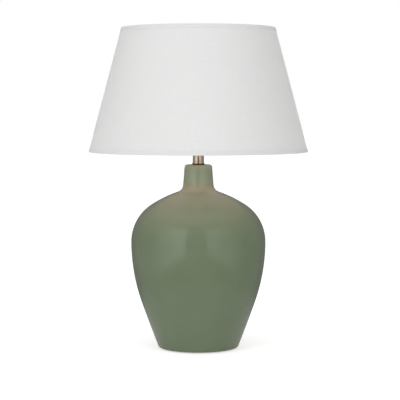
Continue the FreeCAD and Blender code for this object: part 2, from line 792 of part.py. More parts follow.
def make_skirt():
    """Outer sleeve: a shoulder that carries the shade's fitter, and the thread for the shade ring."""
    top = f"({CAP_TOP} + skirt_height)"
    ledge = f"({CORE_TOP} + core_play)"
    body = turned("holder_skirt", [
        ("(spigot_radius + spigot_play)", CAP_TOP),
        ("flange_radius", CAP_TOP),
        ("flange_radius", FITTER_FOOT),
        ("skirt_radius", FITTER_FOOT),
        ("skirt_radius", top),
        ("skirt_mouth_radius", top),
        ("skirt_mouth_radius", f"({top} - skirt_lip_thick)"),
        ("skirt_bore_radius", f"({top} - skirt_lip_thick)"),
        ("skirt_bore_radius", ledge),
        ("(spigot_radius + spigot_play)", ledge),
    ])
    round_over(body, "skirt_rounding", [("skirt_radius", top), ("skirt_mouth_radius", top)])
    return body


def make_shade_ring():
    """Clamping ring that screws down the skirt onto the fitter, with finger grips in its flange."""
    flange_top = f"({RING_FOOT} + ring_flange_thick)"
    top = f"({RING_FOOT} + ring_height)"
    body = turned("shade_clamp_ring", [
        ("(skirt_radius + ring_play)", RING_FOOT),
        ("ring_flange_radius", RING_FOOT),
        ("ring_flange_radius", flange_top),
        ("ring_hub_radius", flange_top),
        ("ring_hub_radius", top),
        ("(skirt_radius + ring_play)", top),
    ])
    grip = new_sketch(body, "XY_Plane", "grip", Base__z=RING_FOOT)
    round_spots(grip, [("0", "-(ring_flange_radius + ring_grip_radius / 2)")], "ring_grip_radius")
    repeat(body, cut_into(body, grip, "ring_flange_thick", along_normal=True), "ring_grips")
    return body


make_holder_cap()
make_grub_screw()
make_holder_core()
make_terminals()
make_terminal_screws()
make_rivets()
make_screw_shell()
make_centre_contact()
make_skirt()
make_shade_ring()


# ---------------------------------------------------------------- shade

TAPER = "((shade_bottom_radius - shade_top_radius) / shade_height)"
WIRE_PLACE = "(hem_thick + fabric_thick + liner_thick + (wire_diameter + wire_room) / 2)"
WIRE_RISE = "(hem_thick + (wire_diameter + wire_room) / 2)"


def on_shade(depth, rise):
    """A corner this deep under the shade's outer face, this high over its lower edge."""
    return (f"(shade_bottom_radius - ({rise}) * {TAPER} - ({depth}))", f"({SHADE_FOOT} + ({rise}))")


def sheet_corners(depth, thick, margin):
    """Section of a sheet that follows the cone and stops short of both edges by a margin."""
    upper = f"shade_height - ({margin})"
    return [on_shade(depth, margin), on_shade(f"{depth} + {thick}", margin),
            on_shade(f"{depth} + {thick}", upper), on_shade(depth, upper)]


def hem_corners(rise_of):
    """Section of a hem strip: down the outside, round the edge and the wire, and back on the liner."""
    on_liner = "hem_thick + fabric_thick + liner_thick"
    past_wire = f"{on_liner} + wire_diameter + wire_room"
    under_wire = "hem_thick + wire_diameter + wire_room"
    corners = (
        ("0", "0"), ("0", "hem_width"), ("hem_thick", "hem_width"), ("hem_thick", "hem_thick"),
        (past_wire, "hem_thick"), (past_wire, under_wire), (on_liner, "hem_width"),
        (f"{on_liner} + hem_thick", "hem_width"), (f"{past_wire} + hem_thick", under_wire),
        (f"{past_wire} + hem_thick", "0"),
    )
    return [on_shade(depth, rise_of(rise)) for depth, rise in corners]


def make_wire(label, rise):
    """Round steel hoop along one edge of the shade."""
    radius, height = on_shade(WIRE_PLACE, rise)
    hoop = doc.addObject("Part::Torus", label)
    bind(hoop, Radius1=radius, Radius2="(wire_diameter / 2)", Placement__Base__z=height)
    pieces[label] = hoop


def make_seam():
    """Folded edge of the overlap that closes the shade down the middle of its back."""
    lower = "hem_width"
    upper = "shade_height - hem_width"
    deep, proud = "hem_thick", "hem_thick - seam_thick"
    ring = doc.addObject("Part::Cut", "seam_ring")
    for name, depth in (("Base", proud), ("Tool", deep)):
        cone = doc.addObject("Part::Cone", f"seam_{name.lower()}")
        bind(cone, Radius1=on_shade(depth, lower)[0], Radius2=on_shade(depth, upper)[0],
             Height=f"({upper} - {lower})", Placement__Base__z=on_shade(depth, lower)[1])
        setattr(ring, name, cone)
    slab = doc.addObject("Part::Box", "seam_slab")
    bind(slab, Length="seam_width", Width="shade_bottom_radius", Height="shade_height",
         Placement__Base__x="-(seam_width / 2)", Placement__Base__z=SHADE_FOOT)
    seam = doc.addObject("Part::Common", "shade_seam_strip")
    seam.Base = ring
    seam.Tool = slab
    pieces["shade_seam_strip"] = seam


def make_bottom_hem():
    """Lower hem, notched where each arm of the fitter passes in to the hoop."""
    body = turned("shade_bottom_hem", hem_corners(lambda rise: rise))
    notch = new_sketch(body, "XZ_Plane", "arm_notch")
    round_spots(notch, [("0", on_shade("0", WIRE_RISE)[1])], "(arm_radius + arm_notch_play)")
    reach = on_shade(WIRE_PLACE, WIRE_RISE)[0]
    repeat(body, cut_into(body, notch, reach, along_normal=False), "arm_count")
    return body


turned("shade_fabric", sheet_corners("hem_thick", "fabric_thick", "hem_thick"))
turned("shade_liner", sheet_corners("(hem_thick + fabric_thick)", "liner_thick", "hem_thick"))
make_wire("shade_bottom_wire", WIRE_RISE)
make_wire("shade_top_wire", f"shade_height - {WIRE_RISE}")
make_bottom_hem()
turned("shade_top_hem", hem_corners(lambda rise: f"shade_height - ({rise})"))
make_seam()


# ---------------------------------------------------------------- fitter

turned("fitter_ring", [
    ("fitter_hole_radius", FITTER_FOOT),
    ("(fitter_radius - fitter_rim_thick)", FITTER_FOOT),
    ("(fitter_radius - fitter_rim_thick)", f"({FITTER_TOP} - fitter_rim_height)"),
    ("fitter_radius", f"({FITTER_TOP} - fitter_rim_height)"),
    ("fitter_radius", FITTER_TOP),
    ("fitter_hole_radius", FITTER_TOP),
])


def make_arms():
    """Three bent wires, welded to the fitter ring's turned-down rim and to the inside of the lower hoop."""
    body = new_body("fitter_arms")
    level = f"({FITTER_TOP} - fitter_rim_height / 2)"
    start = "(fitter_radius + arm_weld_gap)"
    hoop_radius, hoop_height = on_shade(WIRE_PLACE, WIRE_RISE)
    end = f"({hoop_radius} - wire_diameter / 2 - arm_weld_gap)"
    bend = f"({start} + arm_flat)"
    start_point, bend_point, end_point = (
        Vector(value(across), value(up), 0)
        for across, up in ((start, level), (bend, level), (end, hoop_height)))
    path = new_sketch(body, "YZ_Plane", "path")
    flat = path.addGeometry(Part.LineSegment(start_point, bend_point), False)
    slope = path.addGeometry(Part.LineSegment(bend_point, end_point), False)
    path.addConstraint(Sketcher.Constraint("Coincident", flat, 2, slope, 1))
    path.fillet(flat, 2, value("arm_bend_radius"))
    arc = path.GeometryCount - 1
    pin(path, flat, 1, start, level)
    pin(path, flat, 2, bend, level)
    pin(path, slope, 2, end, hoop_height)
    radius = path.addConstraint(Sketcher.Constraint("Radius", arc, value("arm_bend_radius")))
    path.setExpression(f"Constraints[{radius}]", named("arm_bend_radius"))

    end_face = new_sketch(body, "XZ_Plane", "end_face", Base__z=f"-{start}")
    round_spots(end_face, [("0", level)], "arm_radius")
    wire = body.newObject("PartDesign::AdditivePipe", "fitter_arms_wire")
    wire.Profile = (end_face, [""])
    wire.Spine = (path, ["Edge1", "Edge2", "Edge3"])
    repeat(body, wire, "arm_count")
    return body


make_arms()


# ---------------------------------------------------------------- bulb

def over_tip(height):
    return f"({TIP} + {height})"


turned("bulb_centre_contact", [
    ("0", TIP),
    ("tip_face_radius", TIP),
    ("tip_radius", over_tip("tip_thick / 2")),
    ("tip_radius", INSULATOR_FOOT),
    ("0", INSULATOR_FOOT),
])
turned("bulb_insulator", [
    ("0", INSULATOR_FOOT),
    ("insulator_foot_radius", INSULATOR_FOOT),
    ("insulator_radius", BULB_CAP_FOOT),
    ("0", BULB_CAP_FOOT),
])
turned("bulb_screw_cap", [
    ("bulb_cap_flange_radius", BULB_CAP_FOOT),
    ("bulb_cap_foot_radius", BULB_CAP_FOOT),
    ("bulb_cap_radius", f"({BULB_CAP_FOOT} + bulb_cap_chamfer)"),
    ("bulb_cap_radius", BULB_CAP_TOP),
    ("(bulb_cap_radius - bulb_cap_wall)", BULB_CAP_TOP),
    ("(bulb_cap_radius - bulb_cap_wall)", f"({BULB_CAP_FOOT} + bulb_cap_chamfer)"),
    ("(bulb_cap_foot_radius - bulb_cap_wall)", f"({BULB_CAP_FOOT} + bulb_cap_wall)"),
    ("bulb_cap_flange_radius", f"({BULB_CAP_FOOT} + bulb_cap_wall)"),
])

GLOBE_FOOT_RADIUS = "sqrt(globe_radius ^ 2 - globe_drop ^ 2)"
BOARD_FOOT = f"({BULB_CAP_TOP} + housing_board_height)"
HOUSING_FLARE_TOP = f"({BULB_CAP_TOP} + housing_flare_height)"


def draw_housing(sketch, inset, neck_radius):
    """Half a section of the housing: two arcs from screw cap to globe, and the neck under them."""
    neck_foot = f"({BULB_CAP_TOP} - housing_neck_depth)"
    throat, flare, rim = (
        (f"({radius} - {inset})", height) for radius, height in (
            ("housing_throat_radius", BULB_CAP_TOP),
            ("housing_flare_radius", HOUSING_FLARE_TOP),
            (GLOBE_FOOT_RADIUS, GLOBE_FOOT)))
    arcs = arc_chain(sketch, [throat, flare, rim], UP)
    join_runs(sketch, arcs[-1][::2], [("0", GLOBE_FOOT), ("0", neck_foot), (neck_radius, neck_foot),
                                      (neck_radius, BULB_CAP_TOP)], arcs[0][:2])


def make_housing():
    """Moulded body of the bulb: a flared shell whose neck sits in the screw cap."""
    body = new_body("bulb_housing")
    outside = new_sketch(body, "XZ_Plane", "outside")
    draw_housing(outside, "0", HOUSING_NECK)
    turn(body, outside)
    hollow = new_sketch(body, "XZ_Plane", "inside")
    draw_housing(hollow, "housing_wall", f"({HOUSING_NECK} - housing_wall)")
    turn(body, hollow, kind="Groove")
    return body


def make_dome():
    """Opal diffuser: an even spherical shell on the housing's rim."""
    body = new_body("bulb_dome")
    for name, kind, radius in (("outside", "Revolution", "globe_radius"),
                               ("inside", "Groove", "(globe_radius - globe_wall)")):
        section = new_sketch(body, "XZ_Plane", name)
        centre = Vector(0, value(GLOBE_CENTRE), 0)
        reach = value(radius)
        drop = value("globe_drop")
        rim = Vector((reach ** 2 - drop ** 2) ** 0.5, value(GLOBE_FOOT), 0)
        side = centre + Vector(reach, 0, 0)
        top = centre + Vector(0, reach, 0)
        foot = Vector(0, value(GLOBE_FOOT), 0)
        arc = section.addGeometry(Part.Arc(rim, side, top), False)
        down = section.addGeometry(Part.LineSegment(top, foot), False)
        out = section.addGeometry(Part.LineSegment(foot, rim), False)
        for first, first_end, second, second_end in ((arc, 2, down, 1), (down, 2, out, 1), (out, 2, arc, 1)):
            section.addConstraint(Sketcher.Constraint("Coincident", first, first_end, second, second_end))
        section.addConstraint(Sketcher.Constraint("PointOnObject", arc, 2, -2))
        section.addConstraint(Sketcher.Constraint("Horizontal", out))
        pin(section, arc, 3, "0", GLOBE_CENTRE)
        pin(section, down, 2, "0", GLOBE_FOOT)
        size = section.addConstraint(Sketcher.Constraint("Radius", arc, reach))
        section.setExpression(f"Constraints[{size}]", named(radius))
        turn(body, section, kind=kind)
    return body


def make_led_board():
    """Round aluminium board on the rim of the housing's inside, with a ring of emitters on top."""
    flare = f"(({GLOBE_FOOT_RADIUS} - housing_flare_radius) / ({GLOBE_FOOT} - {HOUSING_FLARE_TOP}))"
    wall_there = f"(housing_flare_radius + {flare} * ({BOARD_FOOT} - {HOUSING_FLARE_TOP}))"
    radius = f"({wall_there} - housing_wall - board_play)"
    top = f"({BOARD_FOOT} + board_thick)"
    body = turned("bulb_led_board", [("0", BOARD_FOOT), (radius, BOARD_FOOT), (radius, top), ("0", top)])
    emitter = new_sketch(body, "XY_Plane", "emitter", Base__z=top)
    outline(emitter, box_corners("led_orbit", "0", "led_side", "led_side"))
    pad = body.newObject("PartDesign::Pad", "bulb_led_board_emitter")
    pad.Profile = (emitter, [""])
    bind(pad, Length="led_height")
    repeat(body, pad, "led_count")
    return body


def make_driver_board():
    """Upright circuit board that stands across the housing's neck."""
    half_width = f"({HOUSING_NECK} - housing_wall - board_play)"
    foot = f"({BULB_CAP_TOP} - housing_neck_depth + board_thick)"
    board = doc.addObject("Part::Box", "bulb_driver_board")
    bind(board, Length=f"(2 * {half_width})", Width="driver_thick", Height="driver_height",
         Placement__Base__x=f"-{half_width}", Placement__Base__y="-(driver_thick / 2)",
         Placement__Base__z=foot)
    pieces["bulb_driver_board"] = board


make_housing()
make_dome()
make_led_board()
make_driver_board()


# ---------------------------------------------------------------- test and write

doc.recompute()
for item in doc.Objects:
    if "Invalid" in item.State or "Error" in item.State:
        raise RuntimeError(f"{item.Name} is {item.State}")
for label, piece in pieces.items():
    if piece.Shape.isNull() or not piece.Shape.isValid() or not piece.Shape.Solids:
        raise RuntimeError(f"{label} has no sound solid")
os.makedirs("parts", exist_ok=True)
for label, piece in pieces.items():
    piece.Label = label
    piece.Shape.exportStep(f"parts/{label}.step")
print(len(pieces), "pieces written")
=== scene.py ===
"""Looks of the table lamp: glazed jar, brass neck, screw lampholder, tapered cloth shade and bulb.

Metres, +Z up, front towards -Y. Outlines are (radius, height) in millimetres, and MM turns them to metres.
"""
import math

import bpy
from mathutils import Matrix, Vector


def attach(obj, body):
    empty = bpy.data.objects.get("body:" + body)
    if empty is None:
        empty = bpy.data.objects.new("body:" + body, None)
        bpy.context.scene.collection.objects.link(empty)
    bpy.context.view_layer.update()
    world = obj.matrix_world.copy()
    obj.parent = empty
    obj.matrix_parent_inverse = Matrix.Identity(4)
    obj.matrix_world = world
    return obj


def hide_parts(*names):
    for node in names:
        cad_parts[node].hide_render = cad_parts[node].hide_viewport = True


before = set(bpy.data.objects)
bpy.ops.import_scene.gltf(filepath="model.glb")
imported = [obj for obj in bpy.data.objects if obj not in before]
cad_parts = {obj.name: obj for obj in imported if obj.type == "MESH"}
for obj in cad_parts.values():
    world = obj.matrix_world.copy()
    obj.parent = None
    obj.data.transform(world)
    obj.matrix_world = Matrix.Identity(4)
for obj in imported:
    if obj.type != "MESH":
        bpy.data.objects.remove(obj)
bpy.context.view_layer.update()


# ---------------------------------------------------------------- jar
# Slip-cast stoneware with an even wall, closed at floor and neck. Dipped in a glossy sage glaze. Over the
# shoulder, the fold under the neck, the neck and the lip its colour is painted lighter and warmer: painted
# light from the shade's inside and its reflection. The foot ring is wiped bare before firing.

MM = 0.001


def arc(outline, heading, end, steps):
    """Add an arc from the outline's last point, along a heading, to end. Gives its last heading."""
    start = Vector(outline[-1])
    chord = Vector(end) - start
    half_turn = math.remainder(math.atan2(chord.y, chord.x) - heading, math.tau)
    for step in range(1, steps + 1):
        turn = half_turn * step / steps
        reach = chord.length * math.sin(turn) / math.sin(half_turn)
        toward = heading + turn
        outline.append((start.x + reach * math.cos(toward), start.y + reach * math.sin(toward)))
    return heading + 2 * half_turn


def turned(name, outline, steps=96):
    """Turn an outline about the upright axis. It is closed, or starts and ends on the axis."""
    closed = outline[0][0] > 0
    bpy.ops.object.select_all(action="DESELECT")
    bpy.ops.mesh.primitive_plane_add(size=MM)
    piece = bpy.context.object
    piece.name = piece.data.name = name
    bpy.ops.object.mode_set(mode="EDIT")
    bpy.ops.mesh.merge(type="CENTER")
    path = [(0.0, 0.0), *outline] + outline[:1] * closed
    for number, (here, there) in enumerate(zip(path, path[1:])):
        step = ((there[0] - here[0]) * MM, 0, (there[1] - here[1]) * MM)
        if number == 0:
            bpy.ops.transform.translate(value=step)
        else:
            bpy.ops.mesh.extrude_vertices_move(TRANSFORM_OT_translate={"value": step})
    bpy.ops.mesh.select_all(action="SELECT")
    bpy.ops.mesh.spin(steps=steps, angle=math.tau, center=(0, 0, 0), axis=(0, 0, 1))
    bpy.ops.mesh.select_all(action="SELECT")
    bpy.ops.mesh.remove_doubles(threshold=0.004 * MM)
    bpy.ops.mesh.normals_make_consistent(inside=False)
    bpy.ops.object.mode_set(mode="OBJECT")
    bpy.ops.object.shade_smooth_by_angle(angle=math.radians(30))
    return piece


def apply_modifier(piece, kind, **settings):
    """Add a modifier and apply it."""
    bpy.ops.object.select_all(action="DESELECT")
    piece.select_set(True)
    bpy.context.view_layer.objects.active = piece
    modifier = piece.modifiers.new(kind.title(), kind)
    for name, setting in settings.items():
        setattr(modifier, name, setting)
    bpy.ops.object.modifier_apply(modifier=modifier.name)


def aim(piece, place, turn):
    """Turn a piece that was made upright and set it in its place, in its mesh."""
    bpy.ops.object.select_all(action="DESELECT")
    piece.select_set(True)
    bpy.context.view_layer.objects.active = piece
    piece.rotation_euler = turn
    piece.location = Vector(place) * MM
    bpy.ops.object.transform_apply()
    return piece


def cut_out(piece, cutter):
    """Cut a shape out of a piece and throw the cutter away."""
    apply_modifier(piece, "BOOLEAN", operation="DIFFERENCE", object=cutter, solver="EXACT")
    bpy.data.objects.remove(cutter)


BELLY, BELLY_INSIDE = (122.8, 195.0), (116.3, 195.0)
below = [BELLY]
heading = arc(below, -math.pi / 2, (104.1, 85.2), 36)
heading = arc(below, heading, (74.190, 4.058), 26)
arc(below, heading, (70.459, 1.5), 8)
above = [BELLY]
heading = arc(above, math.pi / 2, (86.0, 262.7), 36)
heading = arc(above, heading, (37.287, 286.412), 20)
heading = arc(above, heading, (27.879, 298.578), 12)
above.append((25.320, 331.845))
arc(above, heading, (20.833, 336.0), 8)
inside_above = [BELLY_INSIDE]
heading = arc(inside_above, math.pi / 2, (82.45, 257.26), 16)
arc(inside_above, heading, (22.1, 284.27), 10)
inside_below = [BELLY_INSIDE]
heading = arc(inside_below, -math.pi / 2, (97.96, 87.34), 16)
arc(inside_below, heading, (74.0, 22.5), 8)
jar = turned("jar", below[::-1] + above[1:] + [(6.9, 336.0), (6.5, 335.6), (6.5, 328.0), (18.5, 328.0)]
             + inside_above[::-1] + inside_below[1:]
             + [(6.0, 22.5), (6.0, 15.5), (42.0, 15.5), (42.0, 2.3), (42.8, 1.5)], steps=160)

INLET = (0, 84.820, 34.708)
INLET_TURN = (-math.radians(110.263), 0, 0)
cut_out(jar, aim(turned("inlet_cutter", [(0, -13), (6.2, -13), (6.2, 0), (9.2, 0), (9.2, 4), (0, 4)], 48),
                 INLET, INLET_TURN))


def linear(code):
    """Linear colour of an sRGB hex code."""
    shares = [int(code[start:start + 2], 16) / 255 for start in (1, 3, 5)]
    return [share / 12.92 if share <= 0.04045 else ((share + 0.055) / 1.055) ** 2.4 for share in shares] + [1]


def connect(node, inputs):
    """Set a node's inputs, each to a value or to another node's output."""
    for socket, source in inputs.items():
        if isinstance(source, bpy.types.NodeSocket):
            node.id_data.links.new(source, node.inputs[socket])
        else:
            node.inputs[socket].default_value = source


def add(tree, kind, inputs, **settings):
    """Add a node with its settings and links."""
    node = tree.nodes.new("ShaderNode" + kind)
    for name, setting in settings.items():
        setattr(node, name, setting)
    connect(node, inputs)
    return node


def finish(name, **settings):
    """A new material, its node tree and its main shader, whose plain settings are set on its own sockets."""
    material = bpy.data.materials.new(name)
    material.use_nodes = True
    shader = material.node_tree.nodes["Principled BSDF"]
    connect(shader, {socket.replace("_", " ").title().replace("Ior", "IOR"): value
                     for socket, value in settings.items()})
    return material, material.node_tree, shader


# Glossy lead-free glaze on stoneware: a clear glassy coat over a cloudy sage colour, smooth to the touch
# but faintly wavy like orange peel, so that reflections have soft edges. From the belly up, the colour is
# painted lighter and warmer over the shoulder, the fold and the lip, and lighter and greener up the neck:
# a painted glow that stands in for the light falling from inside the shade and for its reflection.
PAINTED_GLOW_TONES = {262: "#9C9D82", 288: "#B9AF96", 299: "#A8A183", 305: "#9DA68A", 327: "#9DA68A"}
PAINTED_GLOW_FROM, JAR_TOP = 180, 336
glaze, tree, shader = finish("sage_glaze", roughness=0.5, specular_ior_level=0.2, coat_weight=1.0,
                             coat_roughness=0.12, coat_ior=1.5)
place = add(tree, "TexCoord", {}).outputs["Object"]
height = add(tree, "SeparateXYZ", {0: place}).outputs[2]
cloud = add(tree, "TexNoise", {"Vector": place, "Scale": 1 / (45 * MM), "Detail": 3.0}).outputs[0]
sage = add(tree, "Mix", {0: cloud, 6: linear("#68765B"), 7: linear("#707E63")}, data_type="RGBA").outputs[2]
# Painted glow: the share of the painted lighter, warmer tones grows from the belly to the top of the jar.
painted_glow_share = add(tree, "MapRange", {0: height, 1: 195 * MM, 2: 300 * MM, 3: 0.0, 4: 1.0},
           interpolation_type="SMOOTHSTEP").outputs[0]
rise = add(tree, "MapRange", {0: height, 1: PAINTED_GLOW_FROM * MM, 2: JAR_TOP * MM}).outputs[0]
painted_glow_tints = add(tree, "ValToRGB", {0: rise})
painted_glow_tints.color_ramp.elements[0].color = linear("#7C8468")
painted_glow_tints.color_ramp.elements[1].color = linear("#BDB190")
for up, code in PAINTED_GLOW_TONES.items():
    painted_glow_tints.color_ramp.elements.new((up - PAINTED_GLOW_FROM) / (JAR_TOP - PAINTED_GLOW_FROM)).color = linear(code)
sage = add(tree, "Mix", {0: painted_glow_share, 6: sage, 7: painted_glow_tints.outputs[0]}, data_type="RGBA").outputs[2]
speck = add(tree, "TexNoise", {"Vector": place, "Scale": 1 / (1.6 * MM), "Detail": 1.0}).outputs[0]
speck = add(tree, "MapRange", {0: speck, 1: 0.62, 2: 0.8, 3: 0.0, 4: 0.35}).outputs[0]
sage = add(tree, "Mix", {0: speck, 6: sage, 7: linear("#5C6950")}, data_type="RGBA").outputs[2]
bare = add(tree, "MapRange", {0: height, 1: 2.6 * MM, 2: 2.0 * MM, 3: 0.0, 4: 1.0}).outputs[0]
colour = add(tree, "Mix", {0: bare, 6: sage, 7: linear("#B9AE97")}, data_type="RGBA").outputs[2]
peel = add(tree, "TexNoise", {"Vector": place, "Scale": 1 / (9 * MM), "Detail": 1.0}).outputs[0]
wavy = add(tree, "Bump", {"Strength": 0.25, "Distance": 0.04 * MM, "Height": peel}).outputs[0]
connect(shader, {"Base Color": colour, "Normal": wavy, "Coat Normal": wavy})
jar.data.materials.append(glaze)
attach(jar, "lamp_base")
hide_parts("jar_body")


# ---------------------------------------------------------------- cord inlet
# Moulded rubber bush, pressed into the hole low in the back. Its flange lies in a flat seat in the wall
# and its inner lip snaps in behind the wall.

def rounded(corners, steps=4):
    """An outline through (radius, height, rounding) corners, each rounding a tangent arc."""
    closed = corners[0][0] > 0
    outline = []
    for number, (across, up, size) in enumerate(corners):
        here = Vector((across, up))
        if size == 0 or not (closed or 0 < number < len(corners) - 1):
            outline.append((across, up))
            continue
        before = (here - Vector(corners[number - 1][:2])).normalized()
        after = (Vector(corners[(number + 1) % len(corners)][:2]) - here).normalized()
        setback = size * math.tan(abs(before.angle_signed(after)) / 2)
        outline.append(tuple(here - before * setback))
        arc(outline, math.atan2(before.y, before.x), tuple(here + after * setback), steps)
    return outline


grommet = aim(turned("grommet", rounded([
    (3.5, -7.9, 0.4), (6.0, -7.9, 0.4), (7.4, -6.1, 0.2), (6.0, -6.1, 0.2), (6.0, 0, 0), (9.0, 0, 0.2),
    (9.0, 1.6, 0.7), (7.9, 2.4, 0.7), (4.2, 2.4, 0.2), (3.5, 1.9, 0.5)]), 64), INLET, INLET_TURN)

# Vulcanised EPDM rubber: nearly black, dull, with a faint grain from the mould.
rubber, tree, shader = finish("moulded_rubber", roughness=0.62, specular_ior_level=0.4)
place = add(tree, "TexCoord", {}).outputs["Object"]
bloom = add(tree, "TexNoise", {"Vector": place, "Scale": 1 / (4 * MM), "Detail": 4.0}).outputs[0]
colour = add(tree, "Mix", {0: bloom, 6: linear("#221B17"), 7: linear("#322822")}, data_type="RGBA").outputs[2]
grain = add(tree, "TexNoise", {"Vector": place, "Scale": 1 / (0.5 * MM), "Detail": 2.0}).outputs[0]
connect(shader, {"Base Color": colour, "Normal": add(
    tree, "Bump", {"Strength": 0.3, "Distance": 0.05 * MM, "Height": grain}).outputs[0]})
grommet.data.materials.append(rubber)
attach(grommet, "lamp_base")
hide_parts("cord_grommet")


# ---------------------------------------------------------------- centre tube, washers and nut
# All-thread steel tube that draws the whole lamp together, with a rubber cushion, a steel washer, a split
# spring washer and a thin nut under the jar's floor. They are right as they are and get their finish here.

def dress(material, *nodes):
    """Give nodes of the frame their finish."""
    for node in nodes:
        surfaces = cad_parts[node].data.materials
        surfaces.clear()
        surfaces.append(material)


# Zinc-plated steel: a cool grey with cloudy spangle, half dull.
zinc, tree, shader = finish("zinc_plated_steel", metallic=1.0)
place = add(tree, "TexCoord", {}).outputs["Object"]
spangle = add(tree, "TexVoronoi", {"Vector": place, "Scale": 1 / (2.5 * MM)},
              feature="SMOOTH_F1").outputs["Distance"]
colour = add(tree, "Mix", {0: spangle, 6: linear("#A9ABAD"), 7: linear("#C9CBCD")},
             data_type="RGBA").outputs[2]
rough = add(tree, "MapRange", {0: spangle, 1: 0.0, 2: 1.0, 3: 0.28, 4: 0.45}).outputs[0]
connect(shader, {"Base Color": colour, "Roughness": rough})
dress(zinc, "centre_tube", "base_steel_washer", "base_spring_washer", "base_hex_nut")
dress(rubber, "base_cushion_washer")


# ---------------------------------------------------------------- felt foot
# Die-cut disc of pressed wool felt, glued under the foot ring over the recess so that the glazed jar
# doesn't scratch the table.

felt = turned("felt_foot", rounded([(0, 0, 0), (62.0, 0, 0.5), (62.0, 1.5, 0.4), (0, 1.5, 0)]), 128)

# Pressed wool felt: matted fibres of uneven green, all directions at once, with a soft nap.
wool, tree, shader = finish("pressed_wool_felt", roughness=0.95, specular_ior_level=0.1, sheen_weight=0.35,
                            sheen_roughness=0.6)
place = add(tree, "TexCoord", {}).outputs["Object"]
tangle = add(tree, "TexNoise", {"Vector": place, "Scale": 1 / (3 * MM), "Detail": 6.0,
                                "Distortion": 2.5}).outputs[0]
colour = add(tree, "Mix", {0: tangle, 6: linear("#4C504B"), 7: linear("#6C706A")},
             data_type="RGBA").outputs[2]
connect(shader, {"Base Color": colour, "Normal": add(
    tree, "Bump", {"Strength": 0.6, "Distance": 0.3 * MM, "Height": tangle}).outputs[0]})
felt.data.materials.append(wool)
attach(felt, "lamp_base")
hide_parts("base_felt")


# ---------------------------------------------------------------- neck
# Dark rubber gasket on the jar's lip, then a turned brass spacer with a collar and a fine groove, and a
# brass washer that centres its top. The tube runs up inside all three.

swell = [(5.2, 339.0), (5.2, 332.0), (6.3, 332.0), (6.3, 336.0), (10.9, 336.0)]
arc(swell, math.radians(40), (10.9, 337.8), 8)
gasket = turned("neck_gasket_ring", swell + [(8.4, 337.8), (8.4, 339.0)], 96)
gasket.data.materials.append(rubber)
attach(gasket, "lamp_base")
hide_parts("neck_gasket")

spacer = turned("brass_spacer", rounded([
    (8.5, 337.8, 0.2), (10.8, 337.8, 0.35), (10.8, 340.4, 0.35), (9.75, 340.4, 0), (9.75, 341.0, 0),
    (10.25, 341.0, 0.2), (10.25, 358.0, 0.25), (8.5, 358.0, 0.2)]), 96)
brass_washer = turned("brass_washer", rounded([
    (5.2, 356.8, 0), (8.4, 356.8, 0.2), (8.4, 358.0, 0), (11.5, 358.0, 0.3), (11.5, 359.5, 0.3),
    (5.2, 359.5, 0)]), 96)

# Brass, turned on a lathe, polished and lacquered: pale gold, with tool rings too fine to count that
# stretch each reflection along the turning, and a clear coat. The rings, 0.05 mm apart on the real
# piece, are drawn 0.4 mm apart.
BANDS_A_METRE_APART = 0.314
brass, tree, shader = finish("lacquered_brass", metallic=1.0, roughness=0.2, coat_weight=0.3,
                             coat_roughness=0.1)
place = add(tree, "TexCoord", {}).outputs["Object"]
rings = add(tree, "TexWave", {"Vector": place, "Scale": BANDS_A_METRE_APART / (0.4 * MM),
                              "Distortion": 0.6, "Detail": 2.0},
            wave_type="BANDS", bands_direction="Z").outputs["Fac"]
tarnish = add(tree, "TexNoise", {"Vector": place, "Scale": 1 / (7 * MM), "Detail": 3.0}).outputs[0]
colour = add(tree, "Mix", {0: tarnish, 6: linear("#E4CDAA"), 7: linear("#EDDABC")},
             data_type="RGBA").outputs[2]
connect(shader, {"Base Color": colour, "Normal": add(
    tree, "Bump", {"Strength": 0.12, "Distance": 0.02 * MM, "Height": rings}).outputs[0]})
for piece, node in ((spacer, "neck_spacer"), (brass_washer, "neck_top_washer")):
    piece.data.materials.append(brass)
    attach(piece, "lamp_base")
    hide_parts(node)


# ---------------------------------------------------------------- lampholder
# Moulded thermoplastic lampholder: a cup-shaped cap screwed on the tube and locked by a grub screw, a
# white ceramic core with brass terminals and screw shell, and an outer sleeve with a shoulder and a
# coarse thread for the shade ring.

cap = turned("holder_cup", rounded([
    (5.05, 359.5, 0), (12.0, 359.5, 0.6), (12.0, 367.0, 3.0), (20.0, 375.0, 3.0), (20.0, 383.5, 0.4),
    (18.3, 383.5, 0), (18.3, 389.5, 0.3), (16.5, 389.5, 0.2), (16.5, 378.0, 0), (14.0, 378.0, 0),
    (14.0, 372.5, 0), (9.0, 367.5, 0), (5.05, 367.5, 0)]), 96)
cut_out(cap, aim(turned("grub_cutter", [(0, 0), (1.55, 0), (1.55, 9), (0, 9)], 32), (0, 4.5, 363.3),
                 (-math.pi / 2, 0, 0)))

# The thread is a ridge of its own, wound up the sleeve and let into it by a tenth of a millimetre.
sleeve = turned("holder_sleeve", rounded([
    (18.5, 383.5, 0), (23.0, 383.5, 0.7), (23.0, 386.8, 0.4), (18.95, 386.8, 0.3), (18.95, 418.4, 0.2),
    (19.6, 418.9, 0.2), (19.6, 421.0, 1.0), (14.6, 421.0, 1.0), (14.6, 418.0, 0.3), (15.2, 418.0, 0),
    (15.2, 390.1, 0), (18.5, 390.1, 0)]), 96)


